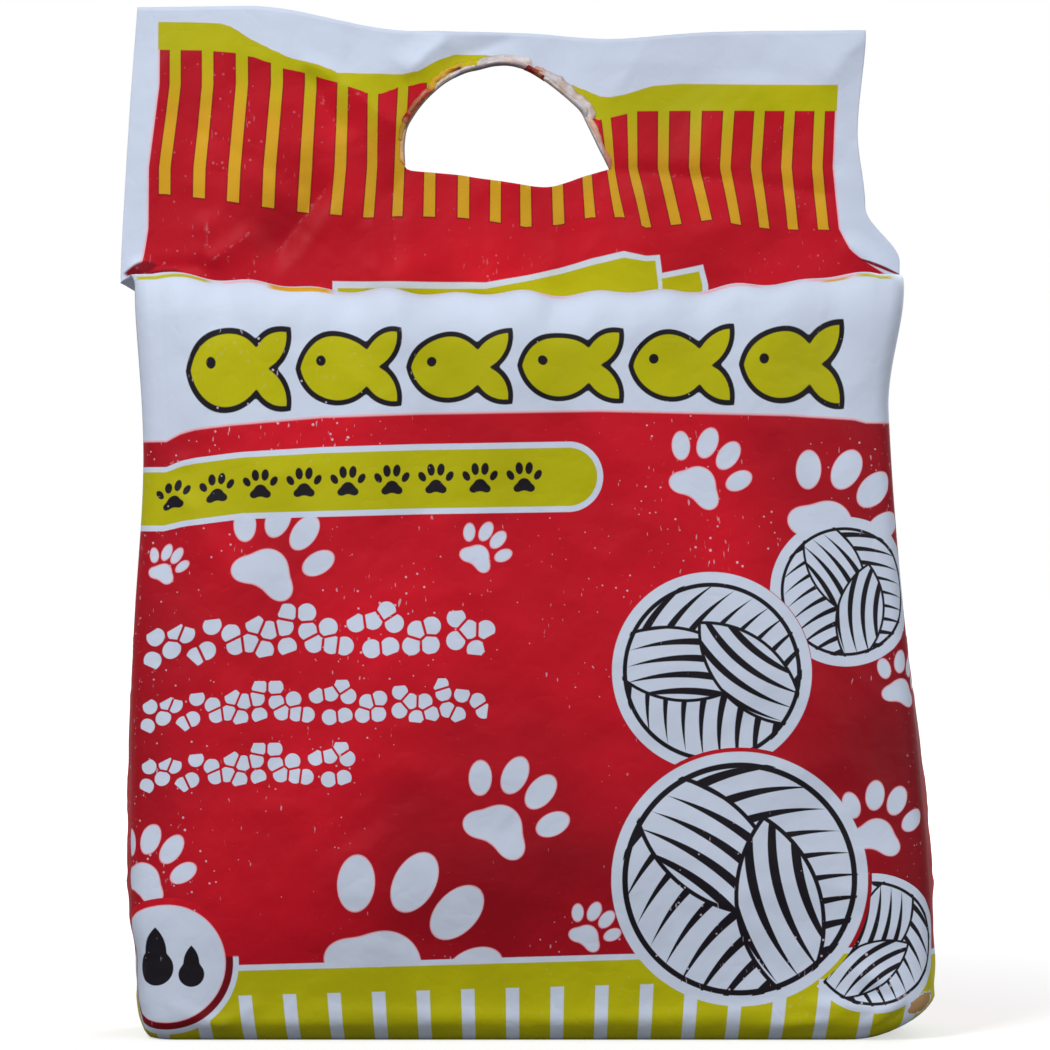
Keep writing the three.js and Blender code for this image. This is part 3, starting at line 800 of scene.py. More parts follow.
skin_mesh = bpy.data.meshes.new("printed_sack")
skin_mesh.from_pydata(np.vstack(points) * MM, [], all_faces)
skin_mesh.polygons.foreach_set("material_index", slots)
skin_mesh.shade_smooth()
print("skin", len(skin_mesh.vertices), "points", len(skin_mesh.polygons), "faces")

# %% [markdown]
# The print coordinates are kept for each corner of each face, because the front's and the
# back's sheets meet at the side creases with different values. How worn the paper is goes
# with each point.

# %% Print coordinates and wear on the mesh
def both_halves(front_values, back_values):
    return np.concatenate([np.ravel(front_values), np.ravel(back_values[:, 1:-1])])


corner_point = np.zeros(len(skin_mesh.loops), int)
skin_mesh.loops.foreach_get("vertex_index", corner_point)
front_corners, back_corners = 4 * len(front_faces), 4 * len(back_faces)
uv = np.zeros((len(corner_point), 2))
back_u = np.zeros(levels * columns + inner)
back_v = back_u.copy()
back_u[back_ids], back_v[back_ids] = back_uv
coordinates = skin_mesh.uv_layers.new(name="print_mm")
in_front, in_back = slice(0, front_corners), slice(front_corners, front_corners + back_corners)
uv[in_front, 0] = np.ravel(front_uv[0])[corner_point[in_front]]
uv[in_front, 1] = np.ravel(front_uv[1])[corner_point[in_front]]
uv[in_back, 0] = back_u[corner_point[in_back]]
uv[in_back, 1] = back_v[corner_point[in_back]]
coordinates.data.foreach_set("uv", uv.ravel())
worn_paper = skin_mesh.attributes.new("worn", "FLOAT", "POINT")
worn_paper.data.foreach_set("value", np.clip(both_halves(*wear), 0, 1))


def put_in_scene(name, data):
    """A new object with that mesh, camera or light, in the scene."""
    piece = bpy.data.objects.new(name, data)
    bpy.context.scene.collection.objects.link(piece)
    return piece


sack = put_in_scene("printed_sack", skin_mesh)
print("most worn", round(float(np.max(wear[0])), 2))

# %% [markdown]
# The hand hole is punched through the flat header: a round top over a lower edge that bows
# down, both pulled out of true by use. A boolean modifier cuts it and is applied, so that the
# mesh itself has the hole.

# %% The punch
HOLE_OVER = (
    610, 169, 600.6, 151, 593.9, 137, 587.3, 123, 581.5, 111.3, 570.7, 100.5, 555.8, 88,
    543.3, 78.9, 527.6, 69.8, 511, 65, 495, 65.2, 479.5, 69, 464.6, 72.8, 446.3, 82.2,
    432, 94, 420.6, 106.3, 412.3, 118, 406.5, 129.5, 404, 146, 404.6, 166,
)
HOLE_UNDER = (
    404.6, 166, 410, 170.8, 433, 173, 458, 175.2, 478, 178.5, 499.4, 181.3, 518.5, 184.2,
    536, 187, 551, 187, 567.4, 182.4, 582.3, 177, 596, 173, 610, 169,
)
OVER_STEPS, UNDER_STEPS = 110, 50
PUNCH_HALF_LENGTH = 30


def hole_line(pixels, steps):
    """Evenly spread points of a smooth line, traced in pixels, on the header."""
    fine = along(np.stack(track(pixels, HEADER_PLACE), axis=1), np.linspace(0, 1, 600))
    run = np.concatenate([[0], np.cumsum(np.hypot(*np.diff(fine, axis=0).T))])
    at = np.linspace(0, run[-1], steps)
    return np.stack([np.interp(at, run, axis) for axis in fine.T])


hole_over = hole_line(HOLE_OVER, OVER_STEPS)
outline = np.hstack([hole_over, hole_line(HOLE_UNDER, UNDER_STEPS)[:, 1:-1]])
count = outline.shape[1]
punch_points = np.vstack([
    np.stack([outline[0] + SHIFT[0], np.full(count, y), outline[1]], axis=1)
    for y in (-PUNCH_HALF_LENGTH, PUNCH_HALF_LENGTH)
]) * MM
ring = np.arange(count)
sides = np.stack([ring, np.roll(ring, -1), np.roll(ring, -1) + count, ring + count], axis=1)[:, ::-1]
ends = [ring.tolist(), (ring + count).tolist()[::-1]]
punch_mesh = bpy.data.meshes.new("punch")
punch_mesh.from_pydata(punch_points, [], sides.tolist() + ends)
punch = put_in_scene("punch", punch_mesh)
print("hole", np.ptp(outline, axis=1).round(1), "mm")


# %% Cutting the hole
def apply_modifiers(piece):
    """Bakes an object's modifiers into its mesh."""
    ready = bpy.context.evaluated_depsgraph_get()
    made = bpy.data.meshes.new_from_object(piece.evaluated_get(ready), depsgraph=ready)
    piece.modifiers.clear()
    piece.data = made


cut = sack.modifiers.new("hand_hole", "BOOLEAN")
cut.operation = "DIFFERENCE"
cut.solver = "EXACT"
cut.object = punch
cut.material_mode = "TRANSFER"
for name in MATERIAL_NAMES:
    sack.data.materials.append(bpy.data.materials.new(name))
punch.data.materials.append(sack.data.materials[EDGE_SLOT])
before = len(sack.data.polygons)
apply_modifiers(sack)
bpy.data.objects.remove(punch)
sack.data.shade_smooth()
print("punched: faces before", before, "after", len(sack.data.polygons))

# %% [markdown]
# A node tree is easier to read when each node is one line. This small class adds nodes to one
# tree. Every call takes plain numbers or the outputs of other nodes, and gives back an output.


# %% A short way to write nodes
ROW_LENGTH, COLUMN_STEP, ROW_STEP = 12, 180, -220
MIX_SOCKETS = {"FLOAT": (2, 0), "VECTOR": (4, 1), "RGBA": (6, 2)}


class TreeWriter:
    def __init__(self, tree):
        self.tree = tree

    def add(self, kind, values, settings):
        """One node, placed in rows, with its settings made and its first inputs fed."""
        node = self.tree.nodes.new("ShaderNode" + kind)
        row, column = divmod(len(self.tree.nodes), ROW_LENGTH)
        node.location = (COLUMN_STEP * column, ROW_STEP * row)
        for name, value in settings.items():
            setattr(node, name, value)
        for socket, value in zip(node.inputs, values):
            self.feed(socket, value)
        return node.outputs

    def new(self, kind, *values, out=0, **settings):
        return self.add(kind, values, settings)[out]

    def group(self, name, *values):
        return self.add("Group", values, {"node_tree": bpy.data.node_groups[name]})

    def feed(self, socket, value):
        if isinstance(value, bpy.types.NodeSocket):
            self.tree.links.new(value, socket)
        else:
            socket.default_value = value

    def math(self, operation, *values):
        return self.new("Math", *values, operation=operation)

    def mix(self, share, a, b, kind="FLOAT", **settings):
        first, out = MIX_SOCKETS[kind]
        made = self.new("Mix", data_type=kind, out=out, **settings)
        for place, value in ((0, share), (first, a), (first + 1, b)):
            self.feed(made.node.inputs[place], value)
        return made


print("nodes in rows of", ROW_LENGTH)

# %% [markdown]
# Every printed shape is a distance: below 0 inside and above 0 outside, in millimetres where it
# can be. A distance gives a crisp edge at any size, and outlines and halos for free. These calls
# place a shape, join its limits and lay ink inside it.


# %% Nodes for shapes and inks
# How soft the edge of an ink is, in mm, where nothing else is said
EDGE = 0.18


class Nodes(TreeWriter):
    def split(self, vector):
        return self.new("SeparateXYZ", vector).node.outputs

    def length(self, vector):
        return self.new("VectorMath", vector, operation="LENGTH", out=1)

    def noise(self, point, scale, detail, roughness):
        return self.new("TexNoise", point, 0.0, scale, detail, roughness)

    def place(self, point, u, v, turn=0.0, wide=1.0, high=1.0, lift=0.0):
        """Coordinates in the frame of a shape at u, v: turned, and in units of its own size."""
        size = (wide, high, 1)
        return self.new("Mapping", point, (u, v, -lift), (0, 0, turn), size, vector_type="TEXTURE")

    def between(self, value, low, high):
        """A distance that is below 0 where value lies between low and high."""
        under, over = self.math("SUBTRACT", low, value), self.math("SUBTRACT", value, high)
        return self.math("MAXIMUM", under, over)

    def within(self, value, low, high):
        """1 where value lies between low and high, else 0."""
        above, below = self.math("GREATER_THAN", value, low), self.math("LESS_THAN", value, high)
        return self.math("MULTIPLY", above, below)

    def inside(self, distance, soft):
        """1 where distance is below 0, with an edge of the given softness."""
        made = self.new("MapRange", distance, -soft, soft, 1.0, 0.0)
        made.node.interpolation_type = "SMOOTHSTEP"
        return made

    def ink(self, share, paper, colour):
        """Colour laid over paper where share is 1."""
        return self.mix(share, paper, colour, "RGBA")

    def lay(self, paper, distance, colour, grown=0.0, soft=EDGE, where=None):
        """Colour laid over paper in a shape, grown by some mm, and only where that mask is 1."""
        if grown:
            distance = self.math("SUBTRACT", distance, grown)
        share = self.inside(distance, soft)
        if where is not None:
            share = self.math("MULTIPLY", share, where)
        return self.ink(share, paper, colour)


print("a plain edge runs out over", EDGE, "mm each way")


# %% A short way to start a node group
def start_group(name, inputs, outputs):
    """A new group with named sockets. It gives its nodes, its inputs and a place for its outputs."""
    tree = bpy.data.node_groups.new(name, "ShaderNodeTree")
    for label, kind in inputs.items():
        tree.interface.new_socket(label, in_out="INPUT", socket_type="NodeSocket" + kind)
    for label, kind in outputs.items():
        tree.interface.new_socket(label, in_out="OUTPUT", socket_type="NodeSocket" + kind)
    given = tree.nodes.new("NodeGroupInput").outputs
    result = tree.nodes.new("NodeGroupOutput").inputs
    print("group", name)
    return Nodes(tree), given, result


FLAT = 1e6

# %% [markdown]
# A paw print is a pad of three lobes that run together and four toes, each an ellipse. It is
# drawn in units of its own size, so that one group serves them all.


# %% Group: paw print
def ellipse(n, point, x, y, wide, high, turn=0.0):
    size = (wide, high, FLAT)
    here = n.new("Mapping", point, (x, y, 0), (0, 0, turn), size, vector_type="TEXTURE")
    reach = math.sqrt(wide * high)
    return n.math("MULTIPLY_ADD", n.length(here), reach, -reach)


PAW_TOES = ((-0.81, 0.57, 0.2, 0.31, 0.55), (-0.29, 0.96, 0.22, 0.35, 0.12),
            (0.29, 0.96, 0.22, 0.35, -0.12), (0.81, 0.57, 0.2, 0.31, -0.55))
PAW_LOBES = ((0, 0.04, 0.37, 0.35, 0), (-0.38, -0.2, 0.25, 0.22, 0.3),
             (0.38, -0.2, 0.25, 0.22, -0.3))
PAW_SMOOTHING = 0.4

n, given, result = start_group("Paw print", {"Point": "Vector"}, {"Distance": "Float"})
pad = ellipse(n, given[0], *PAW_LOBES[0])
for lobe in PAW_LOBES[1:]:
    pad = n.math("SMOOTH_MIN", pad, ellipse(n, given[0], *lobe), PAW_SMOOTHING)
for toe in PAW_TOES:
    pad = n.math("MINIMUM", pad, ellipse(n, given[0], *toe))
n.feed(result[0], pad)

# %% [markdown]
# A leaf is where two equal discs overlap. Three leaves make a plain fish: a body and two tail
# lobes. Leaves also bound the windings on a ball of yarn.

# %% Group: leaf
n, given, result = start_group("Leaf", {"Point": "Vector", "Length": "Float", "Height": "Float"},
                               {"Distance": "Float"})
x, y, _ = n.split(given["Point"])
long_square, high_square = (n.math("POWER", given[name], 2.0) for name in ("Length", "Height"))
squares = n.math("SUBTRACT", long_square, high_square)
offset = n.math("DIVIDE", squares, n.math("MULTIPLY", given["Height"], 2.0))
disc = n.length(n.new("CombineXYZ", x, n.math("ADD", n.math("ABSOLUTE", y), offset), 0.0))
n.feed(result[0], n.math("SUBTRACT", disc, n.math("ADD", offset, given["Height"])))

# %% Group: fish
FISH_BODY = (13.4, 10.8)
FISH_TAIL = (8.8, 4.2)
BODY_AT, TAIL_AT, TAIL_SIDE, TAIL_TURN, TAIL_BLEND = -4.0, 11.0, 5.4, 0.8, 1.8
EYE = (-10.0, 2.2, 1.7, 1.7)
n, given, result = start_group("Fish", {"Point": "Vector"}, {"Distance": "Float", "Eye": "Float"})
fish = n.group("Leaf", n.place(given[0], BODY_AT, 0), *FISH_BODY)[0]
for side in (-1, 1):
    tail = n.place(given[0], TAIL_AT, side * TAIL_SIDE, side * TAIL_TURN)
    fish = n.math("SMOOTH_MIN", fish, n.group("Leaf", tail, *FISH_TAIL)[0], TAIL_BLEND)
n.feed(result[0], fish)
n.feed(result[1], ellipse(n, given[0], *EYE))

# %% [markdown]
# The comb is the bag's main ornament: a solid band with straight tines that run down from it.
# It repeats, so one tine is worked out, and the coordinate is wrapped round by the pitch.

# %% Group: comb
COMB_SIZES = ("First", "Pitch", "Width", "Low", "High", "Band Low", "Band High", "Start", "End")
comb_inputs = {"Point": "Vector", **dict.fromkeys(COMB_SIZES, "Float")}
n, given, result = start_group("Comb", comb_inputs, {"Tine": "Float", "Band": "Float"})
u, v, _ = n.split(given["Point"])
half_pitch = n.math("MULTIPLY", given["Pitch"], 0.5)
less_half = n.math("MULTIPLY", half_pitch, -1.0)
beside = n.math("WRAP", n.math("SUBTRACT", u, given["First"]), half_pitch, less_half)
tine = n.math("MULTIPLY_ADD", given["Width"], -0.5, n.math("ABSOLUTE", beside))
sides = n.between(u, given["Start"], given["End"])
tine = n.math("MAXIMUM", tine, n.between(v, given["Low"], given["High"]))
n.feed(result["Tine"], n.math("MAXIMUM", tine, sides))
band = n.between(v, given["Band Low"], given["Band High"])
n.feed(result["Band"], n.math("MAXIMUM", band, sides))

# %% [markdown]
# Strips of pebbles stand for what the bag holds. A Voronoi texture divides the sheet into
# cells. The distance to a cell's edge gives each pebble, and the cell's own middle says whether
# the whole pebble belongs to the strip, so that none is cut off.

# %% Group: pebble strip
PEBBLE_SPREAD, PEBBLE_GAP, PEBBLE_REACH, PEBBLE_SOFT = 0.62, 0.07, 0.47, 0.025
pebble_inputs = {"Point": "Vector", "Cell": "Float"}
n, given, result = start_group("Pebble strip", pebble_inputs, {"Mask": "Float"})
x, y, long = n.split(given["Point"])
flat = n.new("CombineXYZ", x, y, 0.0)
scale = n.math("DIVIDE", 1.0, given["Cell"])
edge = n.new("TexVoronoi", flat, voronoi_dimensions="2D", feature="DISTANCE_TO_EDGE")
near = n.new("TexVoronoi", flat, voronoi_dimensions="2D")
for texture in (edge.node, near.node):
    n.feed(texture.inputs["Scale"], scale)
    texture.inputs["Randomness"].default_value = PEBBLE_SPREAD
middle_x, middle_y, _ = n.split(near.node.outputs["Position"])
within_cell = n.math("SUBTRACT", PEBBLE_GAP, edge)
round_end = n.math("SUBTRACT", near, PEBBLE_REACH)
pebble = n.inside(n.math("MAXIMUM", within_cell, round_end), PEBBLE_SOFT)
in_height = n.math("LESS_THAN", n.math("ABSOLUTE", middle_y), 1.0)
within = n.math("MULTIPLY", in_height, n.within(middle_x, 0.0, long))
n.feed(result[0], n.math("MULTIPLY", pebble, within))

# %% [markdown]
# A ball of yarn, in units of its radius: a round outline and three sheaves of windings. Each
# sheaf is a leaf filled with bowed lines that are thickest in the middle and run out to points.


# %% Group: yarn ball
def winding(n, point, turn, shift, count, bow, thick):
    """Bowed tapering lines across a ball; turn sets their direction."""
    x, y, _ = n.split(n.place(point, 0, 0, turn))
    bent = n.math("MULTIPLY_ADD", n.math("POWER", x, 2.0), bow, n.math("ADD", y, shift))
    beside = n.math("ABSOLUTE", n.math("WRAP", bent, 0.5 / count, -0.5 / count))
    taper = n.math("MULTIPLY_ADD", n.math("POWER", x, 2.0), -thick * TAPER_END, thick)
    return n.math("SUBTRACT", beside, taper)


# Turn, shift, count, bow and thickness of the lines of three sheaves, and place, turn, length and
# height of the leaves that bound two of them
BALL_SHEAVES = ((0.55, 0.0, 4.6, 0.35, 0.042), (-0.75, 0.05, 5.4, 0.25, 0.040),
                (1.75, 0.1, 5.0, 0.3, 0.040))
RIM_INSET, RIM_HALF, LEAF_HALF, LEAF_SOFT, TAPER_END = 0.03, 0.024, 0.018, 0.004, 1.15
SHEAF_PLACES = ((-0.28, 0.30, -0.75, 0.86, 0.40), (0.34, -0.26, 1.75, 0.80, 0.36))
ball_outputs = {"Distance": "Float", "Line": "Float"}
n, given, result = start_group("Yarn ball", {"Point": "Vector"}, ball_outputs)
flat = n.new("VectorMath", given[0], (1, 1, 0), operation="MULTIPLY")
disc = n.math("SUBTRACT", n.length(flat), 1.0)
line = winding(n, flat, *BALL_SHEAVES[0])
for (x, y, turn, long, high), sheaf in zip(SHEAF_PLACES, BALL_SHEAVES[1:]):
    leaf = n.group("Leaf", n.place(flat, x, y, turn), long, high)[0]
    line = n.mix(n.inside(leaf, LEAF_SOFT), line, winding(n, flat, *sheaf))
    line = n.math("MINIMUM", line, n.math("SUBTRACT", n.math("ABSOLUTE", leaf), LEAF_HALF))
n.feed(result["Distance"], disc)
rim = n.math("ABSOLUTE", n.math("ADD", disc, RIM_INSET))
n.feed(result["Line"], n.math("MINIMUM", line, n.math("SUBTRACT", rim, RIM_HALF)))

# %% [markdown]
# Paper wear is shared by every surface of the bag. It reads the place in space, so that it has
# one scale everywhere. It puts out the height of fine wrinkles for a bump, small white flecks
# and scratches where ink has rubbed off, and a slow change of tone. The larger folds are in the
# mesh, and the height is kept simple, because a bump works it out three times for every ray.

# %% Group: handled paper
# Scale, detail and roughness of each noise, per metre
WRINKLES, FIBRES, SPARSE = (85.0, 2.0, 0.55), (1300.0, 1.0, 0.5), (13.0, 2.0, 0.6)
DRAWN_OUT, RUBBED = (1.0, 1.0, 0.5), (420.0, 2.0, 0.7)
WRINKLE_HEIGHT, FIBRE_HEIGHT = 0.0011, 0.000028
DOT_SCALE, DOT_REACH, DOT_SOFT, DOT_SHARE = 270.0, (0.42, 0.74, 0.015, 0.185), 0.03, 0.8
SCRATCH_TURN, SCRATCH_SCALE, SCRATCH_RANGE = (0.2, 0.5, 0.3), (900, 60, 260), (0.93, 0.99, 0.0, 0.6)
SPARSE_SCRATCHES, WORN_RUB, RUB_RANGE = 0.35, 0.42, (0.80, 0.98, 0.0, 0.75)
TONE_RANGE = (0.34, 0.66, 0.74, 1.12)
n, given, result = start_group("Handled paper", {"Position": "Vector", "Worn": "Float"},
                               {"Height": "Float", "Fleck": "Float", "Tone": "Float"})
place, worn = given["Position"], given["Worn"]
ridged = n.math("ABSOLUTE", n.math("SUBTRACT", n.noise(place, *WRINKLES), 0.5))
wrinkled = n.math("MULTIPLY", ridged, WRINKLE_HEIGHT)
n.feed(result["Height"], n.math("MULTIPLY_ADD", n.noise(place, *FIBRES), FIBRE_HEIGHT, wrinkled))
sparse = n.noise(place, *SPARSE)
dots = n.new("TexVoronoi", place, 0.0, DOT_SCALE)
dots = n.math("SUBTRACT", dots, n.new("MapRange", sparse, *DOT_REACH))
drawn = n.new("Mapping", place, (0, 0, 0), SCRATCH_TURN, SCRATCH_SCALE)
scratch = n.math("MULTIPLY_ADD", sparse, SPARSE_SCRATCHES, n.noise(drawn, *DRAWN_OUT))
rub = n.math("MULTIPLY_ADD", worn, WORN_RUB, n.noise(place, *RUBBED))
fleck = n.math("MULTIPLY", n.inside(dots, DOT_SOFT), DOT_SHARE)
light = n.math("MAXIMUM", fleck, n.new("MapRange", scratch, *SCRATCH_RANGE))
n.feed(result["Fleck"], n.math("MAXIMUM", light, n.new("MapRange", rub, *RUB_RANGE)))
n.feed(result["Tone"], n.new("MapRange", sparse, *TONE_RANGE))
print("groups", [group.name for group in bpy.data.node_groups])

# %% [markdown]
# Colours are written as they look in plain light. The photograph's white has a cool cast.


# %% Inks
def ink_colour(red, green, blue):
    """A colour of the screen, from 0 to 255, in the linear values that shaders use."""
    parts = np.array([red, green, blue]) / 255
    linear = np.where(parts <= 0.04045, parts / 12.92, ((parts + 0.055) / 1.055) ** 2.4)
    return (*linear.tolist(), 1.0)


WHITE = ink_colour(209, 220, 240)
RED = ink_colour(202, 14, 36)
DARK_RED = ink_colour(122, 4, 22)
OLIVE = ink_colour(186, 182, 6)
MUSTARD = ink_colour(214, 160, 34)
BLACK = ink_colour(18, 14, 22)
HALO = ink_colour(236, 186, 200)
KRAFT = ink_colour(176, 138, 92)
SPECK = ink_colour(208, 190, 206)
print("red in linear values", [round(part, 3) for part in RED])

# %% [markdown]
# Many prints are alike but for their place, size and turn. The nearest place is chosen first,
# by one distance for each, and the shape is then worked out only once. The size travels in the
# third coordinate.


# %% Choosing the nearest of many places
def at_nearest(n, point, places, reach):
    """Coordinates in the frame of the shape whose place the point is near."""
    chosen = None
    for u, v, size, turn in places:
        here = n.place(point, u, v, turn, size, size, size)
        if chosen is None:
            chosen = here
            continue
        away = n.new("VectorMath", point, (u, v, 0), operation="DISTANCE", out=1)
        chosen = n.mix(n.math("LESS_THAN", away, reach * size), chosen, here, "VECTOR")
    return chosen


def printed_at(px, py):
    """u and v on the front's flat sheet of a pixel that shows the filled body."""
    x, z = seen(px, py)
    crest = SHOULDER_HEIGHT + ridge_climb(np.clip(x / HALF_WIDTH, -1, 1))
    return float(x), float(print_height(x, z, crest))


def places_at(rows):
    for px, py, size, turn in rows:
        yield (*printed_at(px, py), size * PIXEL, -math.radians(turn))


print("the middle of the picture is printed at", [round(c, 1) for c in printed_at(*PIXEL_MIDDLE)])


# %% Where the prints are, in pixels of the photograph
# Middle, size and turn of each paw print and of each ball
PAW_PLACES = (
    (267, 570, 51, 29), (478, 556, 25, 35), (161, 573, 20, 29), (698, 484, 40.5, 30),
    (829, 525, 58, 35), (500, 826, 52, 33), (385, 967, 88, 36), (140, 882, 42, 28),
    (587, 936, 25, 33), (904, 692, 29, 16), (878, 836, 39, 14),
)
BALL_PLACES = ((846, 592, 64, 20), (712, 672, 88, -35), (874, 945, 62, 70), (740, 880, 116, 0))
# Left end, middle height and right end of a strip of pebbles, and its height in mm
PEBBLE_STRIPS = (((143, 647, 492), 15), ((139, 715, 487), 12.5), ((138, 775, 348), 12.5))
FISH_ROW, FISH_COUNT = (183, 848, 374), 6
CAPSULE_END, CAPSULE_PAWS, CAPSULE_PITCH, CAPSULE_COUNT = (603, 477), (150, 490), 43, 9
BADGE_PLACE, TEAR_PLACE, COMB_PLACE = (163, 966), (925, 1006), (243, 1000)
print("paws", len(PAW_PLACES), "balls", len(BALL_PLACES), "strips", len(PEBBLE_STRIPS))

# %% Sizes of the prints, in mm on the flat sheet
PEBBLE_CELL, PEBBLE_TURNOVER = 0.95, 0.66
CAPSULE_START, CAPSULE_HALF, CAPSULE_PAW_DROP, CAPSULE_PAW_SIZE = -160.0, 12.3, 2.4, 6.0
BADGE_RADIUS, BADGE_RIM_TOP, BADGE_RIM_SOFT = 24.5, 31.0, 0.5
# Place and size of the badge's drops, then where a drop's tip is, its length and half width as
# shares of that size, and how softly it joins the round end
DROPS, DROP_TIP, DROP_BLEND = ((-3.4, -1.5, 6.6), (9.6, -4.0, 4.6)), (0.85, 1.45, 0.62), 1.2
TEAR_TURN, TEAR_SIZE, TEAR_RAGGED = 0.55, (6.6, 2.8), 3.0
PAW_REACH, BALL_REACH = 1.45, 1.12
# Painted shade of the red field, darker towards its edges and below
# Where the red begins to darken and where it is darkest, in mm, and how much at both ends
SHADE_RIGHT, SHADE_LEFT, SHADE_BELOW = (70, 136, 0, 0.84), (-106, -134, 0, 0.5), (100, 68, 0, 0.58)
SHADE_BELOW_FROM, SIDE_CLEAR = (-78, -35), 8
# How far an ink reaches past the edge of its shape, and how soft it ends
PAW_HALO, PAW_INK, SMALL_PAW_INK = (0.42, 0.25), (0, 0.15), (0, 0.03)
CAPSULE_FILL, FISH_LINE, FISH_FILL, EYE_INK = (-2.1, EDGE), (1.6, 0.2), (-0.2, 0.2), (0, 0.2)
BADGE_RIM, BADGE_HALO, BADGE_WHITE = (2.0, EDGE), (-2.6, 0.22), (-3.0, 0.15)
TEAR_RIM, TEAR_KRAFT = (0.5, 0.3), (0, 0.2)
BALL_RIM, BALL_LINE, BALL_END = (3.6, EDGE), 0.16, 0.1
print("softness of a plain edge", EDGE, "mm")


# %% Painted shade and paw prints
def add_painted_shade(n, point, colour):
    """Painted shade: the red is darkened right, left and below, and clears on the bag's sides."""
    u, v, _ = n.split(point)
    right, left = n.new("MapRange", u, *SHADE_RIGHT), n.new("MapRange", u, *SHADE_LEFT)
    from_left = n.new("MapRange", u, *SHADE_BELOW_FROM, 0.0, 1.0)
    below = n.math("MULTIPLY", n.new("MapRange", v, *SHADE_BELOW), from_left)
    darker = n.math("MAXIMUM", n.math("MAXIMUM", right, left), below)
    side = (HALF_WIDTH + SIDE_CLEAR, HALF_WIDTH + HALF_SIDE)
    clears = n.new("MapRange", n.math("ABSOLUTE", u), *side, 1.0, 0.0)
    return n.ink(n.math("MULTIPLY", darker, clears), colour, DARK_RED)


def add_paws(n, point, colour, places):
    local = at_nearest(n, point, places, PAW_REACH)
    _, _, size = n.split(local)
    flat = n.new("VectorMath", local, (1, 1, 0), operation="MULTIPLY")
    paw = n.math("MULTIPLY", n.group("Paw print", flat)[0], size)
    colour = n.lay(colour, paw, HALO, *PAW_HALO)
    return n.lay(colour, paw, WHITE, *PAW_INK)


paws = list(places_at(PAW_PLACES))
print("largest paw", round(max(size for _, _, size, _ in paws), 1), "mm")


# %% The banner with its row of small paws
def add_capsule(n, point, colour):
    end, _ = printed_at(*CAPSULE_END)
    x, y, _ = n.split(n.place(point, end - CAPSULE_HALF, V_CAPSULE))
    before = n.math("SUBTRACT", CAPSULE_START + 2 * CAPSULE_HALF - end, x)
    beyond = n.math("MAXIMUM", n.math("MAXIMUM", x, before), 0.0)
    capsule = n.length(n.new("CombineXYZ", beyond, y, 0.0))
    capsule = n.math("SUBTRACT", capsule, CAPSULE_HALF)
    colour = n.lay(colour, capsule, WHITE)
    colour = n.lay(colour, capsule, OLIVE, *CAPSULE_FILL)
    start, _ = printed_at(*CAPSULE_PAWS)
    pitch = CAPSULE_PITCH * PIXEL
    u, v, _ = n.split(point)
    wrapped = n.math("WRAP", n.math("SUBTRACT", u, start), pitch, 0.0)
    middle = (pitch / 2, V_CAPSULE - CAPSULE_PAW_DROP)
    local = n.place(n.new("CombineXYZ", wrapped, v, 0.0), *middle, 0, CAPSULE_PAW_SIZE, CAPSULE_PAW_SIZE)
    row_start = start - end + CAPSULE_HALF
    in_row = n.within(x, row_start, row_start + CAPSULE_COUNT * pitch)
    return n.lay(colour, n.group("Paw print", local)[0], BLACK, *SMALL_PAW_INK, in_row)


print("banner", V_CAPSULE - CAPSULE_HALF, "to", V_CAPSULE + CAPSULE_HALF, "mm up")


# %% Strips of pebbles and the row of fish
def add_pebble_strips(n, point, colour):
    chosen = None
    for (x0, y0, x1), height in PEBBLE_STRIPS:
        u0, v0 = printed_at(x0, y0)
        u1, _ = printed_at(x1, y0)
        here = n.place(point, u0, v0, 0, height / 2, height / 2, 2 * (u1 - u0) / height)
        if chosen is None:
            chosen = here
            continue
        below = n.math("LESS_THAN", n.split(point)[1], v0 + PEBBLE_TURNOVER * height)
        chosen = n.mix(below, chosen, here, "VECTOR")
    return n.ink(n.group("Pebble strip", chosen, PEBBLE_CELL)[0], colour, WHITE)


def add_fish_row(n, point, colour):
    u0, v0 = printed_at(FISH_ROW[0], FISH_ROW[2])
    u1, _ = printed_at(FISH_ROW[1], FISH_ROW[2])
    pitch = (u1 - u0) / FISH_COUNT
    u, v, _ = n.split(point)
    x = n.math("WRAP", n.math("SUBTRACT", u, u0), pitch, 0.0)
    local = n.new("CombineXYZ", n.math("SUBTRACT", x, pitch / 2), n.math("SUBTRACT", v, v0), 0.0)
    fish, eye = n.group("Fish", local)
    in_row = n.within(u, u0, u1)
    for shape, ink, edge in ((fish, BLACK, FISH_LINE), (fish, OLIVE, FISH_FILL), (eye, BLACK, EYE_INK)):
        colour = n.lay(colour, shape, ink, *edge, in_row)
    return colour


print("fish", FISH_COUNT, "pebbles about", PEBBLE_CELL * PEBBLE_STRIPS[0][1] / 2, "mm")


# %% The badge, the torn corner and the balls
def add_badge(n, point, colour):
    local = n.place(point, *printed_at(*BADGE_PLACE))
    disc = n.math("SUBTRACT", n.length(local), BADGE_RADIUS)
    below = n.inside(n.math("SUBTRACT", n.split(point)[1], BADGE_RIM_TOP), BADGE_RIM_SOFT)
    colour = n.lay(colour, disc, WHITE, *BADGE_RIM, below)
    # Low on the bag the ring is laid in dark red: painted shade
    colour = n.lay(colour, disc, n.ink(below, RED, DARK_RED))
    colour = n.lay(colour, disc, HALO, *BADGE_HALO)
    colour = n.lay(colour, disc, WHITE, *BADGE_WHITE)
    for x, y, size in DROPS:
        rise, length, width = (share * size for share in DROP_TIP)
        round_end = ellipse(n, local, x, y, size, size)
        tip = n.group("Leaf", n.place(local, x, y + rise, math.pi / 2), length, width)[0]
        colour = n.lay(colour, n.math("SMOOTH_MIN", round_end, tip, DROP_BLEND), BLACK)
    return colour


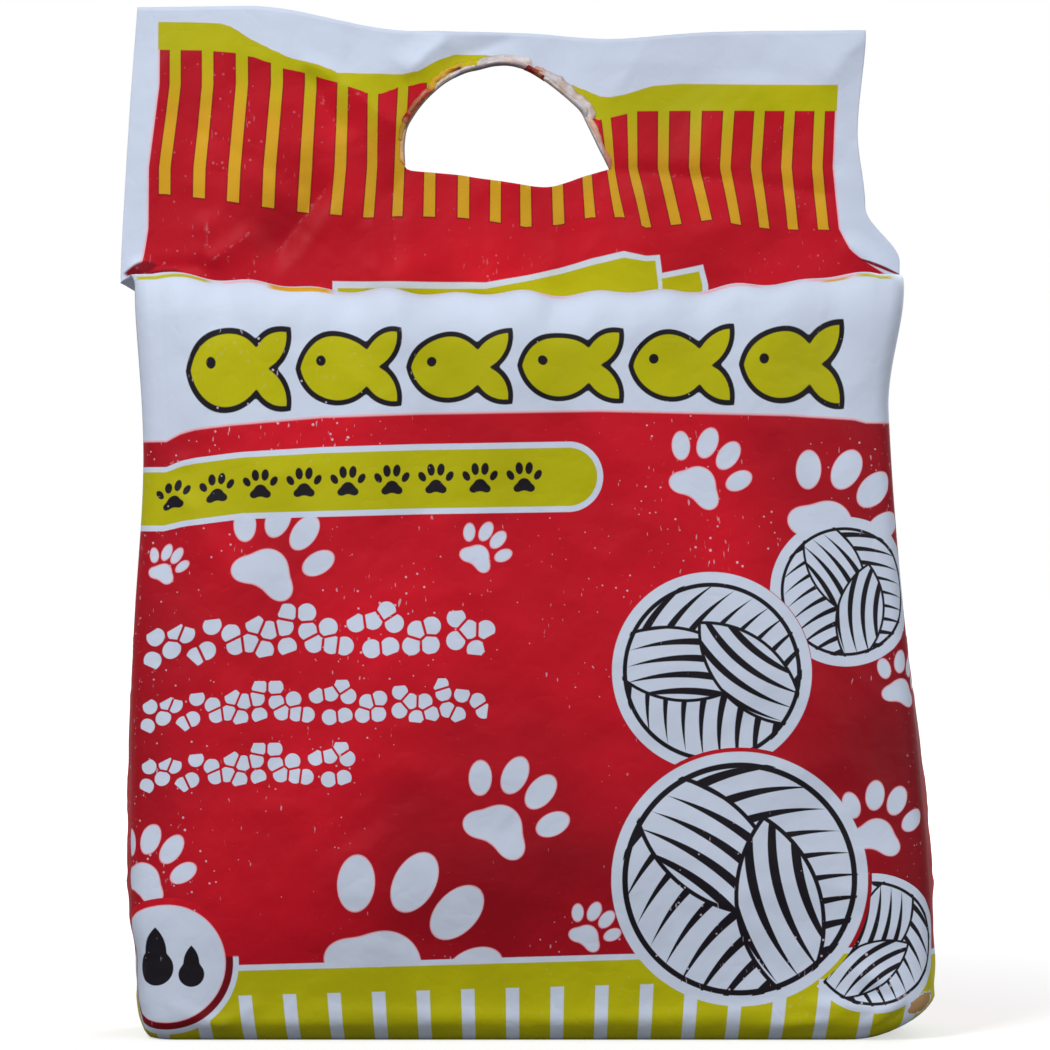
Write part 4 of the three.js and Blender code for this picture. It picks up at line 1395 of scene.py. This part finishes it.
def add_tear(n, point, colour):
    """A spot at the crushed corner where the printed ply is torn and the kraft ply shows."""
    ragged = n.noise(point, 0.9, 2.0, 0.6)
    tear = n.group("Leaf", n.place(point, *printed_at(*TEAR_PLACE), TEAR_TURN), *TEAR_SIZE)[0]
    tear = n.math("ADD", tear, n.math("MULTIPLY_ADD", ragged, TEAR_RAGGED, -TEAR_RAGGED / 2))
    colour = n.lay(colour, tear, WHITE, *TEAR_RIM)
    return n.lay(colour, tear, KRAFT, *TEAR_KRAFT)


def add_balls(n, point, colour):
    local = at_nearest(n, point, list(places_at(BALL_PLACES)), BALL_REACH)
    _, _, size = n.split(local)
    disc, line = (n.math("MULTIPLY", part, size) for part in n.group("Yarn ball", local))
    colour = n.lay(colour, disc, WHITE, *BALL_RIM)
    on_ball = n.inside(n.math("SUBTRACT", disc, BALL_END), BALL_END)
    return n.lay(colour, line, BLACK, 0, BALL_LINE, on_ball)


print("badge at", [round(place, 1) for place in printed_at(*BADGE_PLACE)])

# %% [markdown]
# Some fields run round the whole bag: the white over the shoulder, the comb along the foot and
# the comb of stripes in the header.

# %% Sizes of the fields
V_COMB_TOP, V_COMB_TINES, COMB_SLANT = 28.6, 19.6, 0.028
COMB_PITCH, COMB_WIDTH, COMB_RIM, COMB_SIDE = 15.9, 4.75, 2.1, 2
SLANT_END, TINE_LEAN = 120.0, 0.0011
HEADER_START_U = STRIPE_MIDDLE - STRIPE_PITCH * STRIPE_COUNT / 2
HEADER_END_U = STRIPE_MIDDLE + STRIPE_PITCH * STRIPE_COUNT / 2
V_VALLEY, STRIPE_WIDTH, STRIPE_OVERLAP, BAND_OVERLAP = 292.0, 3.85, 2, 0.6
# Painted shade of the header's red panel towards its ends: from and to in mm, and how much
HEADER_SHADE_LEFT, HEADER_SHADE_RIGHT = (-72, -92, 0, 0.32), (40, 90, 0, 0.2)
# The stripes are olive at the band and turn to mustard over these heights
STRIPE_FADE = (V_BAND_FOOT - 18, V_BAND_FOOT + 1, 0.95, 0.0)
SHEET_END = 1000.0
WHITE_HALO, WHITE_INK = (0.7, 0.4), (0, 0.2)
PANEL_HALO, STRIPE_SHADOW, STRIPE_INK = (0.6, 0.5), (0.35, 0.3), (0, 0.16)
print("header printed from", HEADER_START_U, "to", HEADER_END_U)


# %% Fields round the whole bag
def add_bottom_comb(n, point, colour):
    u, v, _ = n.split(point)
    aside = n.math("ABSOLUTE", u)
    slant = n.new("MapRange", aside, SLANT_END, HALF_WIDTH + HALF_SIDE, -COMB_SLANT, 0.0)
    slanted = n.math("MULTIPLY_ADD", u, slant, v)
    first, _ = printed_at(*COMB_PLACE)
    below = n.math("MAXIMUM", n.math("SUBTRACT", V_COMB_TINES, v), 0.0)
    drawn_in = n.math("MULTIPLY_ADD", below, TINE_LEAN, 1.0)
    tilted = n.new("CombineXYZ", n.math("MULTIPLY", u, drawn_in), slanted, 0.0)
    tine, band = n.group("Comb", tilted, first, COMB_PITCH, COMB_WIDTH, -SHEET_END, V_COMB_TINES,
                         -SHEET_END, V_COMB_TOP, -SHEET_END, SHEET_END)
    colour = n.lay(colour, band, WHITE, COMB_RIM)
    colour = n.lay(colour, band, OLIVE)
    tine = n.math("MAXIMUM", tine, n.math("SUBTRACT", aside, HALF_WIDTH + COMB_SIDE))
    return n.lay(colour, tine, WHITE)


def add_white_top(n, point, colour):
    above = n.math("SUBTRACT", V_WHITE_FOOT, n.split(point)[1])
    colour = n.lay(colour, above, HALO, *WHITE_HALO)
    return n.lay(colour, above, WHITE, *WHITE_INK)


def add_header(n, point, colour):
    u, v, _ = n.split(point)
    tine, band = n.group("Comb", point, STRIPE_MIDDLE - STRIPE_PITCH / 2, STRIPE_PITCH, STRIPE_WIDTH,
                         V_TIPS, V_BAND_TOP - STRIPE_OVERLAP, V_BAND_FOOT + BAND_OVERLAP, V_BAND_TOP,
                         HEADER_START_U, HEADER_END_U)
    across = n.between(u, HEADER_START_U, HEADER_END_U)
    panel = n.math("MAXIMUM", across, n.between(v, V_VALLEY, V_BAND_TOP))
    colour = n.lay(colour, panel, HALO, *PANEL_HALO)
    # The red panel is darkened towards both ends: painted shade
    left, right = (n.new("MapRange", u, *shade) for shade in (HEADER_SHADE_LEFT, HEADER_SHADE_RIGHT))
    colour = n.lay(colour, panel, n.ink(n.math("MAXIMUM", left, right), RED, DARK_RED))
    colour = n.lay(colour, tine, DARK_RED, *STRIPE_SHADOW)
    mustard = n.ink(n.new("MapRange", v, *STRIPE_FADE), OLIVE, MUSTARD)
    colour = n.lay(colour, tine, mustard, *STRIPE_INK)
    return n.lay(colour, band, OLIVE, BAND_OVERLAP)


print("tines of the foot", COMB_WIDTH, "mm wide, every", COMB_PITCH, "mm")

# %% [markdown]
# The ribbon ends on the header's foot, where the paper goes down into the fold behind the ridge.
# The ridge shows slivers of ink, and the shade of pleats is painted at the header's lower corners.

# %% Places at the header's foot
RIBBON_EDGES, RIBBON_RISE, RIBBON_TAIL = (338, 657), (486, 626), (661, 700)
RIBBON_LOW, RIBBON_SLOPE, RIBBON_RIM, RIBBON_FOOT = 300.7, 0.165, (1.8, 0.2), 3
TAIL_LOW, TAIL_SLOPE = 2.6, 0.13
# From and to in pixels across, the height over the crest and the half thickness in mm, the ink
CREST_MARKS = (
    (128, 206, -1.1, 0.45, OLIVE), (268, 330, -1.3, 0.75, MUSTARD), (222, 262, -0.9, 0.3, HALO),
    (702, 760, -0.9, 0.35, HALO), (812, 866, -0.9, 0.35, HALO), (862, 896, -1.1, 0.45, OLIVE),
    (540, 566, -0.9, 0.35, HALO), (826, 850, -1.3, 0.3, MUSTARD),
)
CREST_PIXEL, MARK_TAPER, MARK_SOFT = 280, 0.12, 0.25
# Painted shade of pleats at the header's foot: middle in pixels, half length, half width in mm, turn
PLEAT_SHADES = ((141, 270, 5.2, 1.9, 0.1), (879, 267, 4.2, 1.2, -0.75), (166, 273, 7.0, 1.0, -0.05))
PLEAT_SHADE_SOFT = 0.5
print("marks on the ridge", len(CREST_MARKS), "pleats", len(PLEAT_SHADES))


# %% Layers at the header's foot
def add_pleat_shade(n, point, colour):
    """Painted shade of small folds at the header's lower corners, where the red turns dark."""
    for px, py, length, width, turn in PLEAT_SHADES:
        pleat_shade = n.group("Leaf", n.place(point, *header_place(px, py), turn), length, width)[0]
        colour = n.lay(colour, pleat_shade, DARK_RED, 0, PLEAT_SHADE_SOFT)
    return colour


def add_ribbon(n, point, colour):
    """The end of a plain ribbon that runs over the header's foot and down into the fold."""
    u, v, _ = n.split(point)
    pixels = (*RIBBON_EDGES, *RIBBON_RISE, *RIBBON_TAIL)
    u0, u1, start, end, tail0, tail1 = (header_place(px)[0] for px in pixels)
    climb = n.new("MapRange", u, start, end, 0.0, RIBBON_SLOPE * (end - start))
    above = n.math("SUBTRACT", n.math("SUBTRACT", v, climb), RIBBON_LOW)
    ribbon = n.math("MAXIMUM", above, n.between(u, u0, u1))
    rise = n.math("MULTIPLY_ADD", u, TAIL_SLOPE, V_RED_FOOT + TAIL_LOW - TAIL_SLOPE * tail0)
    tail = n.math("MAXIMUM", n.math("SUBTRACT", v, rise), n.between(u, tail0, tail1))
    foot = n.math("SUBTRACT", V_CREST + RIBBON_FOOT, v)
    ribbon = n.math("MAXIMUM", n.math("MINIMUM", ribbon, tail), foot)
    colour = n.lay(colour, ribbon, WHITE, *RIBBON_RIM)
    return n.lay(colour, ribbon, OLIVE)


def add_crest_marks(n, point, colour):
    """Slivers of ink that show along the ridge, where the paper turns over the fill."""
    u, v, _ = n.split(point)
    for x0, x1, lift, thick, mark in CREST_MARKS:
        off = n.math("ABSOLUTE", n.math("SUBTRACT", v, V_CREST + lift))
        u0, u1 = (float(seen(px, CREST_PIXEL)[0]) for px in (x0, x1))
        beside = n.math("ABSOLUTE", n.math("SUBTRACT", u, (u0 + u1) / 2))
        taper = n.math("MULTIPLY", n.math("SUBTRACT", beside, (u1 - u0) / 2), MARK_TAPER)
        sliver = n.math("MAXIMUM", n.math("SUBTRACT", off, thick), taper)
        colour = n.lay(colour, sliver, mark, 0, MARK_SOFT)
    return colour


print("the ribbon's left edge is at", round(header_place(RIBBON_EDGES[0])[0], 1), "mm")

# %% [markdown]
# The front's sheet has a material for each of its three fields: the red one, the white one over
# the shoulder and the header. The back has one for all, with fewer shapes. All four share the
# groups and the layers that go round the bag, and all are worn alike.


# %% Paper of any kind
PAPER_GLOSS, BUMP_STRENGTH = 0.16, 0.55


def start_paper(material):
    """Nodes of a new paper material, and the place in space that its wear reads."""
    material.use_nodes = True
    n = Nodes(material.node_tree)
    return n, n.new("TexCoord", out=3)


def finish_paper(n, colour, height, roughness):
    """Ties colour, bump and roughness to the shader, and gives the shader and the bump."""
    shader = n.tree.nodes["Principled BSDF"]
    bump_node = n.new("Bump").node
    bump_node.inputs["Distance"].default_value = 1.0
    n.feed(bump_node.inputs["Height"], height)
    n.feed(shader.inputs["Base Color"], colour)
    n.feed(shader.inputs["Normal"], bump_node.outputs[0])
    n.feed(shader.inputs["Roughness"], roughness)
    print("paper with", len(n.tree.nodes), "nodes")
    return shader, bump_node


print("gloss of print", PAPER_GLOSS)

# %% Printed paper
SEAM_PLACE, SEAM_HALF, SEAM_STEP = 34.0, 0.4, 0.0006
# By how much green an ink has: flecks show on dark inks, and so do changes of tone
FLECKS_BY_GREEN, TONE_BY_GREEN = (0.05, 0.3, 1.0, 0.12), (0.05, 0.6, 1.0, 0.3)
FLECKS_IN_HEADER, PRINT_ROUGHNESS = 0.22, (0.74, 1.12, 0.48, 0.62)


def printed_paper(material, sheet, layers, seam=None):
    """Lays the given layers of print on a sheet, then wears it. seam is where its ends overlap."""
    n, place = start_paper(material)
    point = n.new("UVMap", uv_map="print_mm")
    handled = n.group("Handled paper", place, n.new("Attribute", attribute_name="worn", out=2))
    colour = n.mix(0.0, sheet, sheet, "RGBA")
    for layer in layers:
        colour = layer(n, point, colour)
    bared = n.mix(1.0, colour, SPECK, "RGBA", blend_type="LIGHTEN")
    green = n.new("SeparateColor", colour, out=1)
    on_dark = n.new("MapRange", green, *FLECKS_BY_GREEN)
    tone_share = n.new("MapRange", green, *TONE_BY_GREEN)
    u, v, _ = n.split(point)
    below_header = n.new("MapRange", v, V_CREST, V_RED_FOOT, 1.0, FLECKS_IN_HEADER)
    shown = n.math("MULTIPLY", handled["Fleck"], n.math("MULTIPLY", on_dark, below_header))
    colour = n.ink(shown, colour, bared)
    tone = n.math("MULTIPLY_ADD", n.math("SUBTRACT", handled["Tone"], 1.0), tone_share, 1.0)
    shade = n.new("CombineXYZ", tone, tone, tone)
    toned = n.mix(1.0, colour, shade, "RGBA", blend_type="MULTIPLY")
    height = handled["Height"]
    if seam is not None:
        lap = n.new("MapRange", u, seam - SEAM_HALF, seam + SEAM_HALF, 0.0, SEAM_STEP)
        height = n.math("ADD", height, lap)
    roughness = n.new("MapRange", handled["Tone"], *PRINT_ROUGHNESS)
    shader, bump_node = finish_paper(n, toned, height, roughness)
    bump_node.inputs["Strength"].default_value = BUMP_STRENGTH
    shader.inputs["Specular IOR Level"].default_value = PAPER_GLOSS


print("flecks in the header", FLECKS_IN_HEADER)

# %% The four printed papers
# Place, size and turn of the back's paw prints, in mm and radians
BACK_PAWS = [(-92, 150, 18, -0.5), (-30, 110, 13, -0.4), (60, 168, 20, -0.6), (112, 120, 12, -0.3),
             (-110, 70, 14, -0.6), (20, 62, 17, -0.5), (96, 60, 15, -0.55), (-40, 186, 10, -0.4)]
paper = sack.data.materials
printed_paper(paper[FRONT_SLOT], RED, (
    add_painted_shade, lambda n, p, c: add_paws(n, p, c, paws), add_capsule, add_pebble_strips, add_white_top,
    add_bottom_comb, add_badge, add_balls, add_tear,
))
printed_paper(paper[TOP_SLOT], RED, (add_painted_shade, add_white_top, add_fish_row))
printed_paper(paper[HEADER_SLOT], WHITE, (add_crest_marks, add_header, add_pleat_shade, add_ribbon))
printed_paper(paper[BACK_SLOT], RED, (
    lambda n, p, c: add_paws(n, p, c, BACK_PAWS), add_white_top, add_bottom_comb, add_header,
), SEAM_PLACE)

# %% [markdown]
# The base shows the plain outside of the folded bottom. The cut edges, of the top and of the
# hole, show the plies of the sack.


# %% Bare paper of the base and the cut edges
def bare_paper(material, colour, other):
    n, place = start_paper(material)
    handled = n.group("Handled paper", place, 0.0)
    plies = n.noise(place, 260.0, 3.0, 0.6)
    mixed = n.ink(n.new("MapRange", plies, 0.4, 0.6, 0.0, 1.0), colour, other)
    roughness = n.new("MapRange", handled["Tone"], 0.9, 1.06, 0.7, 0.85)
    finish_paper(n, mixed, handled["Height"], roughness)


bare_paper(paper[BASE_SLOT], OLIVE, ink_colour(176, 170, 40))
bare_paper(paper[EDGE_SLOT], ink_colour(206, 196, 188), KRAFT)

# %% [markdown]
# The paper that was punched out still hangs on along the round top of the hole, rolled up and
# torn into its plies. Each ply is a narrow strip round part of the arc: it starts in the hole,
# bulges forward over the edge and ends on the header's face.

# %% The flap's plies
PLY_STEPS, PLY_ACROSS = 120, 9
PLY_THICKNESS = 0.2
GREY_PLY, PALE_PLY = ink_colour(196, 194, 204), ink_colour(228, 218, 216)
DIM_PLY, DUSKY_PLY = ink_colour(120, 118, 132), ink_colour(170, 146, 148)
CREAM_PLY, ROSE_PLY = ink_colour(236, 206, 180), ink_colour(222, 138, 140)
BROWN_PLY, OCHRE_PLY = ink_colour(120, 96, 20), ink_colour(190, 140, 40)
TAN_PLY = ink_colour(222, 168, 92)
# Start and end as shares of the round edge from its right end, the reach inwards and outwards in
# mm at both ends, how far it stands forward, a seed, and the colour at both ends.
PLIES = (
    # First ply: dim grey along the whole arc, painted shade of the hole's dark edge
    (0.0, 1.0, -0.25, 0.5, 0.5, 0.4, 3, DIM_PLY, DIM_PLY),
    (0.0, 0.23, -0.1, 1.9, 2.6, 1.0, 5, ROSE_PLY, CREAM_PLY),
    (0.03, 0.2, -0.2, 0.9, 1.0, 1.3, 6, GREY_PLY, GREY_PLY),
    (0.15, 0.41, -0.1, 5.6, 2.9, 1.9, 7, PALE_PLY, GREY_PLY),
    (0.17, 0.38, -0.3, 2.7, 1.4, 2.3, 8, GREY_PLY, PALE_PLY),
    (0.355, 0.43, -0.4, 1.7, 1.9, 2.0, 9, DARK_RED, DARK_RED),
    (0.345, 0.405, 1.2, 3.0, 2.8, 2.1, 10, PALE_PLY, ROSE_PLY),
    (0.4, 0.6, -0.1, 4.0, 3.2, 1.3, 11, PALE_PLY, GREY_PLY),
    (0.41, 0.56, -0.2, 2.6, 2.2, 1.9, 12, DUSKY_PLY, PALE_PLY),
    (0.44, 0.66, -0.3, 1.1, 1.5, 2.3, 13, DIM_PLY, DIM_PLY),
    (0.54, 0.76, 0.1, 4.3, 3.0, 1.2, 14, OLIVE, MUSTARD),
    (0.57, 0.735, -0.1, 2.0, 1.8, 2.1, 15, GREY_PLY, PALE_PLY),
    (0.62, 0.72, 1.6, 3.2, 2.4, 1.7, 16, DARK_RED, MUSTARD),
    (0.73, 0.885, 0.0, 3.2, 2.6, 1.3, 17, RED, DARK_RED),
    (0.745, 0.84, 1.2, 2.6, 2.0, 1.9, 18, ROSE_PLY, DARK_RED),
    (0.84, 0.93, 0.0, 2.2, 1.9, 1.2, 19, BROWN_PLY, OCHRE_PLY),
    (0.88, 1.0, -0.2, 1.5, 1.4, 0.8, 20, CREAM_PLY, TAN_PLY),
)
print("plies", len(PLIES))


# %% The form of a ply
# Wavelength in mm and share of the torn edge's two noises, and of the roll's one
TORN, ROLL_NOISE = ((7, 0.16), (1.6, 0.1)), (5, 0.3)
ARC_LENGTH, ROLL_TURNS, ROLL_SEED = 110, 9, 50
ENDS_IN, ENDS_OUT, LEAST_REACH = (-0.03, 0.14), (0.86, 1.03), 0.06
ROLL_SKEW, ROLL_ROUND, EDGE_SET_BACK, OFF_FACE = 0.7, 0.8, 0.9, 0.1


def ply_points(start, end, inner, first, last, bulge, seed):
    """Points of one ply as rows round the arc and columns across the strip."""
    t = np.linspace(0, 1, PLY_STEPS)[:, None]
    s = np.linspace(0, 1, PLY_ACROSS)[None, :]
    place = mix(start, end, t)
    steps = np.linspace(0, 1, OVER_STEPS)
    edge = [np.interp(place, steps, axis) for axis in hole_over]
    along_x, along_z = (np.interp(place, steps, np.gradient(axis)) for axis in hole_over)
    length = np.hypot(along_x, along_z)
    ends = ease(*ENDS_IN, t) * (1 - ease(*ENDS_OUT, t))
    torn = 1
    for cell, share in TORN:
        torn = torn + share * paper_noise(place * ARC_LENGTH, 0 * t, cell, seed)
    reach = inner + (mix(first, last, t) * torn - inner) * np.maximum(ends, LEAST_REACH) * s
    x = edge[0] + reach * along_z / length
    z = edge[1] - reach * along_x / length
    relief, _ = header_relief(x, z)
    face = header_middle(x, z - SHOULDER_HEIGHT) - relief - HALF_HEADER
    rolled = bulge * ends * np.sin(np.pi * s**ROLL_SKEW) ** ROLL_ROUND
    cell, share = ROLL_NOISE
    uneven = paper_noise(place * ARC_LENGTH, ROLL_TURNS * s, cell, seed + ROLL_SEED)
    rolled = rolled * (1 + share * uneven)
    y = face + EDGE_SET_BACK * (1 - s) ** 4 - rolled - OFF_FACE
    return np.stack([x, y, z], axis=-1).reshape(-1, 3) + SHIFT


print("plies of", PLY_STEPS, "by", PLY_ACROSS, "points")

# %% The flap as one mesh
flap_points, flap_faces, flap_colours = [], [], []
for *shape, first, last in PLIES:
    ids = np.arange(PLY_STEPS * PLY_ACROSS).reshape(PLY_STEPS, PLY_ACROSS)
    ids = ids + len(flap_points) * ids.size
    flap_points.append(ply_points(*shape))
    for row in range(PLY_STEPS - 1):
        flap_faces += strip(ids[row], ids[row + 1]).tolist()
    share = np.repeat(np.linspace(0, 1, PLY_STEPS), PLY_ACROSS)[:, None]
    flap_colours.append(mix(np.array(first), np.array(last), share))
flap_mesh = bpy.data.meshes.new("rolled_flap")
flap_mesh.from_pydata(np.vstack(flap_points) * MM, [], flap_faces)
flap_mesh.shade_smooth()
tint = flap_mesh.attributes.new("ply_colour", "FLOAT_COLOR", "POINT")
tint.data.foreach_set("color", np.vstack(flap_colours).ravel())
flap = put_in_scene("rolled_flap", flap_mesh)
solid = flap.modifiers.new("paper", "SOLIDIFY")
solid.thickness = PLY_THICKNESS * MM
solid.offset = 0
apply_modifiers(flap)
print("flap", len(flap.data.vertices), "points")

# %% [markdown]
# Each ply has its own tint, kept with the points. Streaks of kraft show where fibres are torn.

# %% The flap's paper
flap_paper = bpy.data.materials.new("torn_plies")
n, place = start_paper(flap_paper)
handled = n.group("Handled paper", place, 1.0)
ply_tint = n.new("Attribute", attribute_name="ply_colour")
streaks = n.noise(place, 240.0, 2.0, 0.6)
streaked = n.ink(n.new("MapRange", streaks, 0.45, 0.62, 0.0, 0.5), ply_tint, KRAFT)
roughness = n.new("MapRange", streaks, 0.3, 0.7, 0.6, 0.8)
shader, _ = finish_paper(n, streaked, handled["Height"], roughness)
shader.inputs["Specular IOR Level"].default_value = PAPER_GLOSS
flap.data.materials.append(flap_paper)

# %% [markdown]
# The camera stands where the photographer stood: level, 1.6 m in front, and a little below the
# middle of the bag's height.

# %% Camera
PHOTO_SIZE = 1050
SENSOR = 36
centre_x, centre_z = seen(PHOTO_SIZE / 2, PHOTO_SIZE / 2, 0)
camera_data = bpy.data.cameras.new("camera")
camera_data.sensor_width = SENSOR
camera_data.lens = SENSOR * VIEW_DISTANCE / (PHOTO_SIZE * PIXEL)
camera_data.clip_start, camera_data.clip_end = 0.05, 20
camera = put_in_scene("camera", camera_data)
camera.location = ((centre_x + SHIFT[0]) * MM, (SHIFT[1] - VIEW_DISTANCE) * MM, centre_z * MM)
camera.rotation_euler = (math.pi / 2, 0, 0)
bpy.context.scene.camera = camera
print("camera at", [round(c, 3) for c in camera.location], "lens", round(camera_data.lens), "mm")

# %% [markdown]
# A pale floor runs back to the horizon, and the world is white where the camera sees it. For
# camera rays the floor also glows a little, so that it is as white as the background, and it
# still keeps the bag's soft shadow.

# %% Floor
FLOOR_HALF = 9.0
# The glow grows with the distance from the bag: from and to in metres, and how strong
FLOOR_GLOW, FLOOR_GREY, BOUNCE_GREY = (0.2, 1.1, 0.56, 1.0), (0.6, 0.6, 0.6, 1), (0.25, 0.25, 0.25, 1)
floor_mesh = bpy.data.meshes.new("floor")
corners = [(FLOOR_HALF * x, FLOOR_HALF * y, 0) for x, y in ((-1, -1), (1, -1), (1, 1), (-1, 1))]
floor_mesh.from_pydata(corners, [], [(0, 1, 2, 3)])
floor = put_in_scene("floor", floor_mesh)
floor_paint = bpy.data.materials.new("pale_floor")
floor_paint.use_nodes = True
floor_tree = floor_paint.node_tree
floor_tree.nodes.remove(floor_tree.nodes["Principled BSDF"])
n = Nodes(floor_tree)
glow_strength = n.new("MapRange", n.length(n.new("NewGeometry")), *FLOOR_GLOW)
glow = n.new("Emission", (1, 1, 1, 1), glow_strength)
bright = n.new("AddShader", glow, n.new("BsdfDiffuse", FLOOR_GREY))
dim = n.new("BsdfDiffuse", BOUNCE_GREY)
rays = n.new("LightPath").node.outputs
shown = n.new("MixShader", rays["Is Camera Ray"], dim, bright)
n.feed(floor_tree.nodes["Material Output"].inputs["Surface"], shown)
floor_mesh.materials.append(floor_paint)
print("floor", 2 * FLOOR_HALF, "m wide")

# %% World
AMBIENT = 0.32
world = bpy.data.worlds.new("studio")
bpy.context.scene.world = world
world.use_nodes = True
n = Nodes(world.node_tree)
rays = n.new("LightPath").node.outputs
plain = n.math("MAXIMUM", rays["Is Camera Ray"], rays["Is Glossy Ray"])
plain = n.math("MAXIMUM", plain, rays["Is Transmission Ray"])
background = world.node_tree.nodes["Background"]
background.inputs["Color"].default_value = (1, 1, 1, 1)
n.feed(background.inputs["Strength"], n.mix(plain, AMBIENT, 1.0))
print("ambient light", AMBIENT)

# %% [markdown]
# The photograph's light is soft and comes from all sides, a little more from the upper left. A
# key lamp, a broad fill from the right and a lamp behind do this. The picture keeps plain
# colours, so that they compare with the photograph's.


# %% Lamps
# Name, place, the point it shines at, width in metres and power in watts
LAMPS = (
    ("key", (-0.8, -1.25, 1.3), (0, 0, 0.24), 0.55, 19.5),
    ("fill", (1.6, -1.5, 0.9), (0, 0, 0.2), 1.2, 13),
    ("back", (0.9, 1.6, 1.0), (0, 0, 0.2), 0.9, 14),
)
for name, place, target, width, watts in LAMPS:
    light = bpy.data.lights.new(name, "AREA")
    light.shape = "SQUARE"
    light.size = width
    light.energy = watts
    lamp = put_in_scene(name, light)
    lamp.location = place
    away = np.array(place) - np.array(target)
    lamp.rotation_euler = Vector(away).to_track_quat("Z", "Y").to_euler()
print("lamps", [lamp[0] for lamp in LAMPS])

bpy.context.scene.view_settings.view_transform = "Standard"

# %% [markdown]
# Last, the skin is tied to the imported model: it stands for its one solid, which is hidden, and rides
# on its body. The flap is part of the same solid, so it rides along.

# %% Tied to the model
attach(sack, "root")
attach(flap, "root")
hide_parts("litter_bag")
